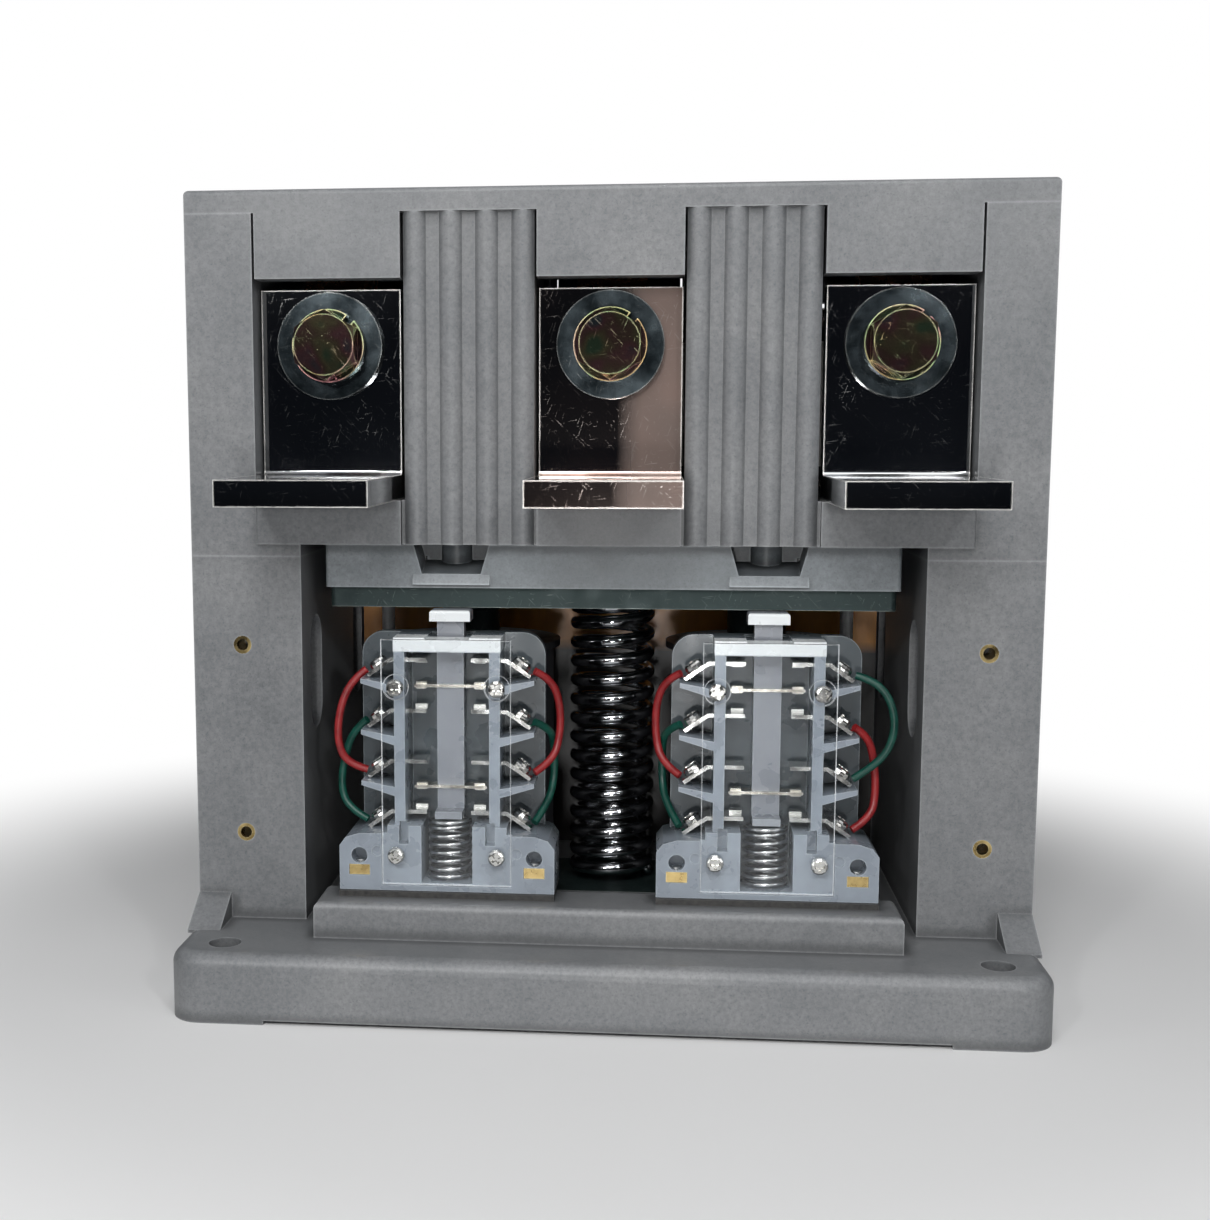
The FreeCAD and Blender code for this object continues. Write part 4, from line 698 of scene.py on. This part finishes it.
def wire_material(name, color, dark):
    material, tree, shader = new_material(name, color, 0.38)
    cloud = noise(tree, 260.0, 3.0)
    tree.links.new(ramp(tree, cloud, [(0.3, dark), (0.7, color)]), shader.inputs["Base Color"])
    tree.links.new(remap(tree, cloud, 0.3, 0.7, 0.28, 0.5), shader.inputs["Roughness"])
    return material


wire_materials = {
    "red": wire_material("red_pvc", (0.30, 0.016, 0.018), (0.17, 0.008, 0.010)),
    "green": wire_material("green_pvc", (0.003, 0.075, 0.052), (0.002, 0.035, 0.026)),
}
for name, (block_sign, side_sign, row, route) in jumper_routes.items():
    points = jumper_points(block_sign, side_sign, row, route)
    curve = bpy.data.curves.new(name + "_lead", "CURVE")
    curve.dimensions = "3D"
    curve.bevel_depth = wire_diameter / 2
    curve.bevel_resolution = 5
    curve.resolution_u = 10
    curve.use_fill_caps = True
    spline = curve.splines.new("NURBS")
    spline.points.add(len(points) - 1)
    for point, place in zip(spline.points, points):
        point.co = (*place, 1.0)
    spline.order_u = 3
    spline.use_endpoint_u = True
    lead = bpy.data.objects.new(name + "_lead", curve)
    bpy.context.collection.objects.link(lead)
    lead.data.materials.append(wire_materials[name.split("_")[0]])
    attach(lead, "frame")
    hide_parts(name)


# Floor and background
# A pale table that fades to plain white round the contactor, and keeps its shadow.
# Polished metal sees the same table go dark in the distance, like the unlit side of a room.
def floor_material():
    material, tree, shader = new_material("pale_floor", (0.80, 0.80, 0.80), 0.6)
    paths = add_node(tree, "ShaderNodeLightPath")
    coordinates = add_node(tree, "ShaderNodeTexCoord")
    distance = add_node(tree, "ShaderNodeVectorMath", operation="LENGTH")
    tree.links.new(coordinates.outputs["Object"], distance.inputs[0])
    away = add_node(tree, "ShaderNodeMapRange", interpolation_type="SMOOTHSTEP")
    tree.links.new(distance.outputs["Value"], away.inputs["Value"])
    away.inputs["From Min"].default_value = 0.17
    away.inputs["From Max"].default_value = 0.36
    seen = reckon(tree, "MAXIMUM", paths.outputs["Is Camera Ray"], paths.outputs["Is Transmission Ray"])
    white = add_node(tree, "ShaderNodeEmission")
    dim = add_node(tree, "ShaderNodeEmission")
    dim.inputs["Color"].default_value = (0.006, 0.007, 0.009, 1.0)
    first = add_node(tree, "ShaderNodeMixShader")
    tree.links.new(reckon(tree, "MULTIPLY", away.outputs["Result"], seen), first.inputs[0])
    tree.links.new(shader.outputs[0], first.inputs[1])
    tree.links.new(white.outputs[0], first.inputs[2])
    second = add_node(tree, "ShaderNodeMixShader")
    mirrored_far = reckon(tree, "MULTIPLY", away.outputs["Result"], paths.outputs["Is Glossy Ray"])
    tree.links.new(mirrored_far, second.inputs[0])
    tree.links.new(first.outputs[0], second.inputs[1])
    tree.links.new(dim.outputs[0], second.inputs[2])
    tree.links.new(second.outputs[0], tree.nodes["Material Output"].inputs["Surface"])
    return material


floor_mesh = bmesh.new()
bmesh.ops.create_grid(floor_mesh, x_segments=1, y_segments=1, size=4.0)
floor_data = bpy.data.meshes.new("floor")
floor_mesh.to_mesh(floor_data)
floor_mesh.free()
floor = bpy.data.objects.new("floor", floor_data)
bpy.context.collection.objects.link(floor)
floor.data.materials.append(floor_material())


# Room and lamps
# A plain bright room with one soft lamp high in front, one over the top and one at each side.
# Small lamps beside the camera and low behind it light the ledges and base and put glints on the springs.
world = bpy.data.worlds.new("room")
bpy.context.scene.world = world
world.use_nodes = True
room = world.node_tree
background = room.nodes["Background"]
background.inputs["Color"].default_value = (1.0, 1.0, 1.0, 1.0)
background.inputs["Strength"].default_value = 1.0
soft = add_node(room, "ShaderNodeBackground")
soft.inputs["Color"].default_value = (0.94, 0.97, 1.0, 1.0)
soft.inputs["Strength"].default_value = 0.08
mirrored = add_node(room, "ShaderNodeBackground")
direction = add_node(room, "ShaderNodeTexCoord")
split = add_node(room, "ShaderNodeSeparateXYZ")
room.links.new(direction.outputs["Generated"], split.inputs[0])
room.links.new(ramp(room, remap(room, split.outputs["Z"], -1.0, 1.0, 0.0, 1.0),
                    [(0.0, (0.20, 0.20, 0.20)), (0.46, (0.012, 0.014, 0.018)), (0.53, (0.005, 0.006, 0.009)),
                     (0.66, (0.02, 0.022, 0.026)), (0.76, (0.60, 0.62, 0.65)), (1.0, (0.8, 0.82, 0.85))]),
               mirrored.inputs["Color"])
paths = add_node(room, "ShaderNodeLightPath")
gloss_mix = add_node(room, "ShaderNodeMixShader")
room.links.new(paths.outputs["Is Glossy Ray"], gloss_mix.inputs[0])
room.links.new(soft.outputs[0], gloss_mix.inputs[1])
room.links.new(mirrored.outputs[0], gloss_mix.inputs[2])
seen = reckon(room, "MAXIMUM", paths.outputs["Is Camera Ray"], paths.outputs["Is Transmission Ray"])
camera_mix = add_node(room, "ShaderNodeMixShader")
room.links.new(seen, camera_mix.inputs[0])
room.links.new(gloss_mix.outputs[0], camera_mix.inputs[1])
room.links.new(background.outputs[0], camera_mix.inputs[2])
room.links.new(camera_mix.outputs[0], room.nodes["World Output"].inputs["Surface"])


def lamp(name, place, target, size, power, color=(1.0, 1.0, 1.0)):
    data = bpy.data.lights.new(name, "AREA")
    data.energy = power
    data.size = size
    data.color = color
    light = bpy.data.objects.new(name, data)
    light.location = place
    light.rotation_euler = (Vector(target) - Vector(place)).to_track_quat("-Z", "Y").to_euler()
    bpy.context.collection.objects.link(light)


lamp("front_lamp", (-0.10, -1.1, 0.80), (0, 0, 0.10), 0.35, 5.4)
lamp("top_lamp", (0.05, -0.50, 1.05), (0, 0, 0.1), 0.5, 3.9)
lamp("left_lamp", (-1.1, -0.75, 0.45), (0, 0, 0.1), 0.4, 1.3)
lamp("right_lamp", (1.1, -0.75, 0.45), (0, 0, 0.1), 0.4, 1.3)
lamp("left_camera_lamp", (-0.20, -0.62, 0.36), (0.0, -0.05, 0.08), 0.05, 0.6)
lamp("right_camera_lamp", (0.24, -0.62, 0.36), (0.0, -0.05, 0.08), 0.05, 0.6)
lamp("low_lamp", (0.0, -0.80, 0.03), (0, -0.1, 0.01), 0.05, 0.9)
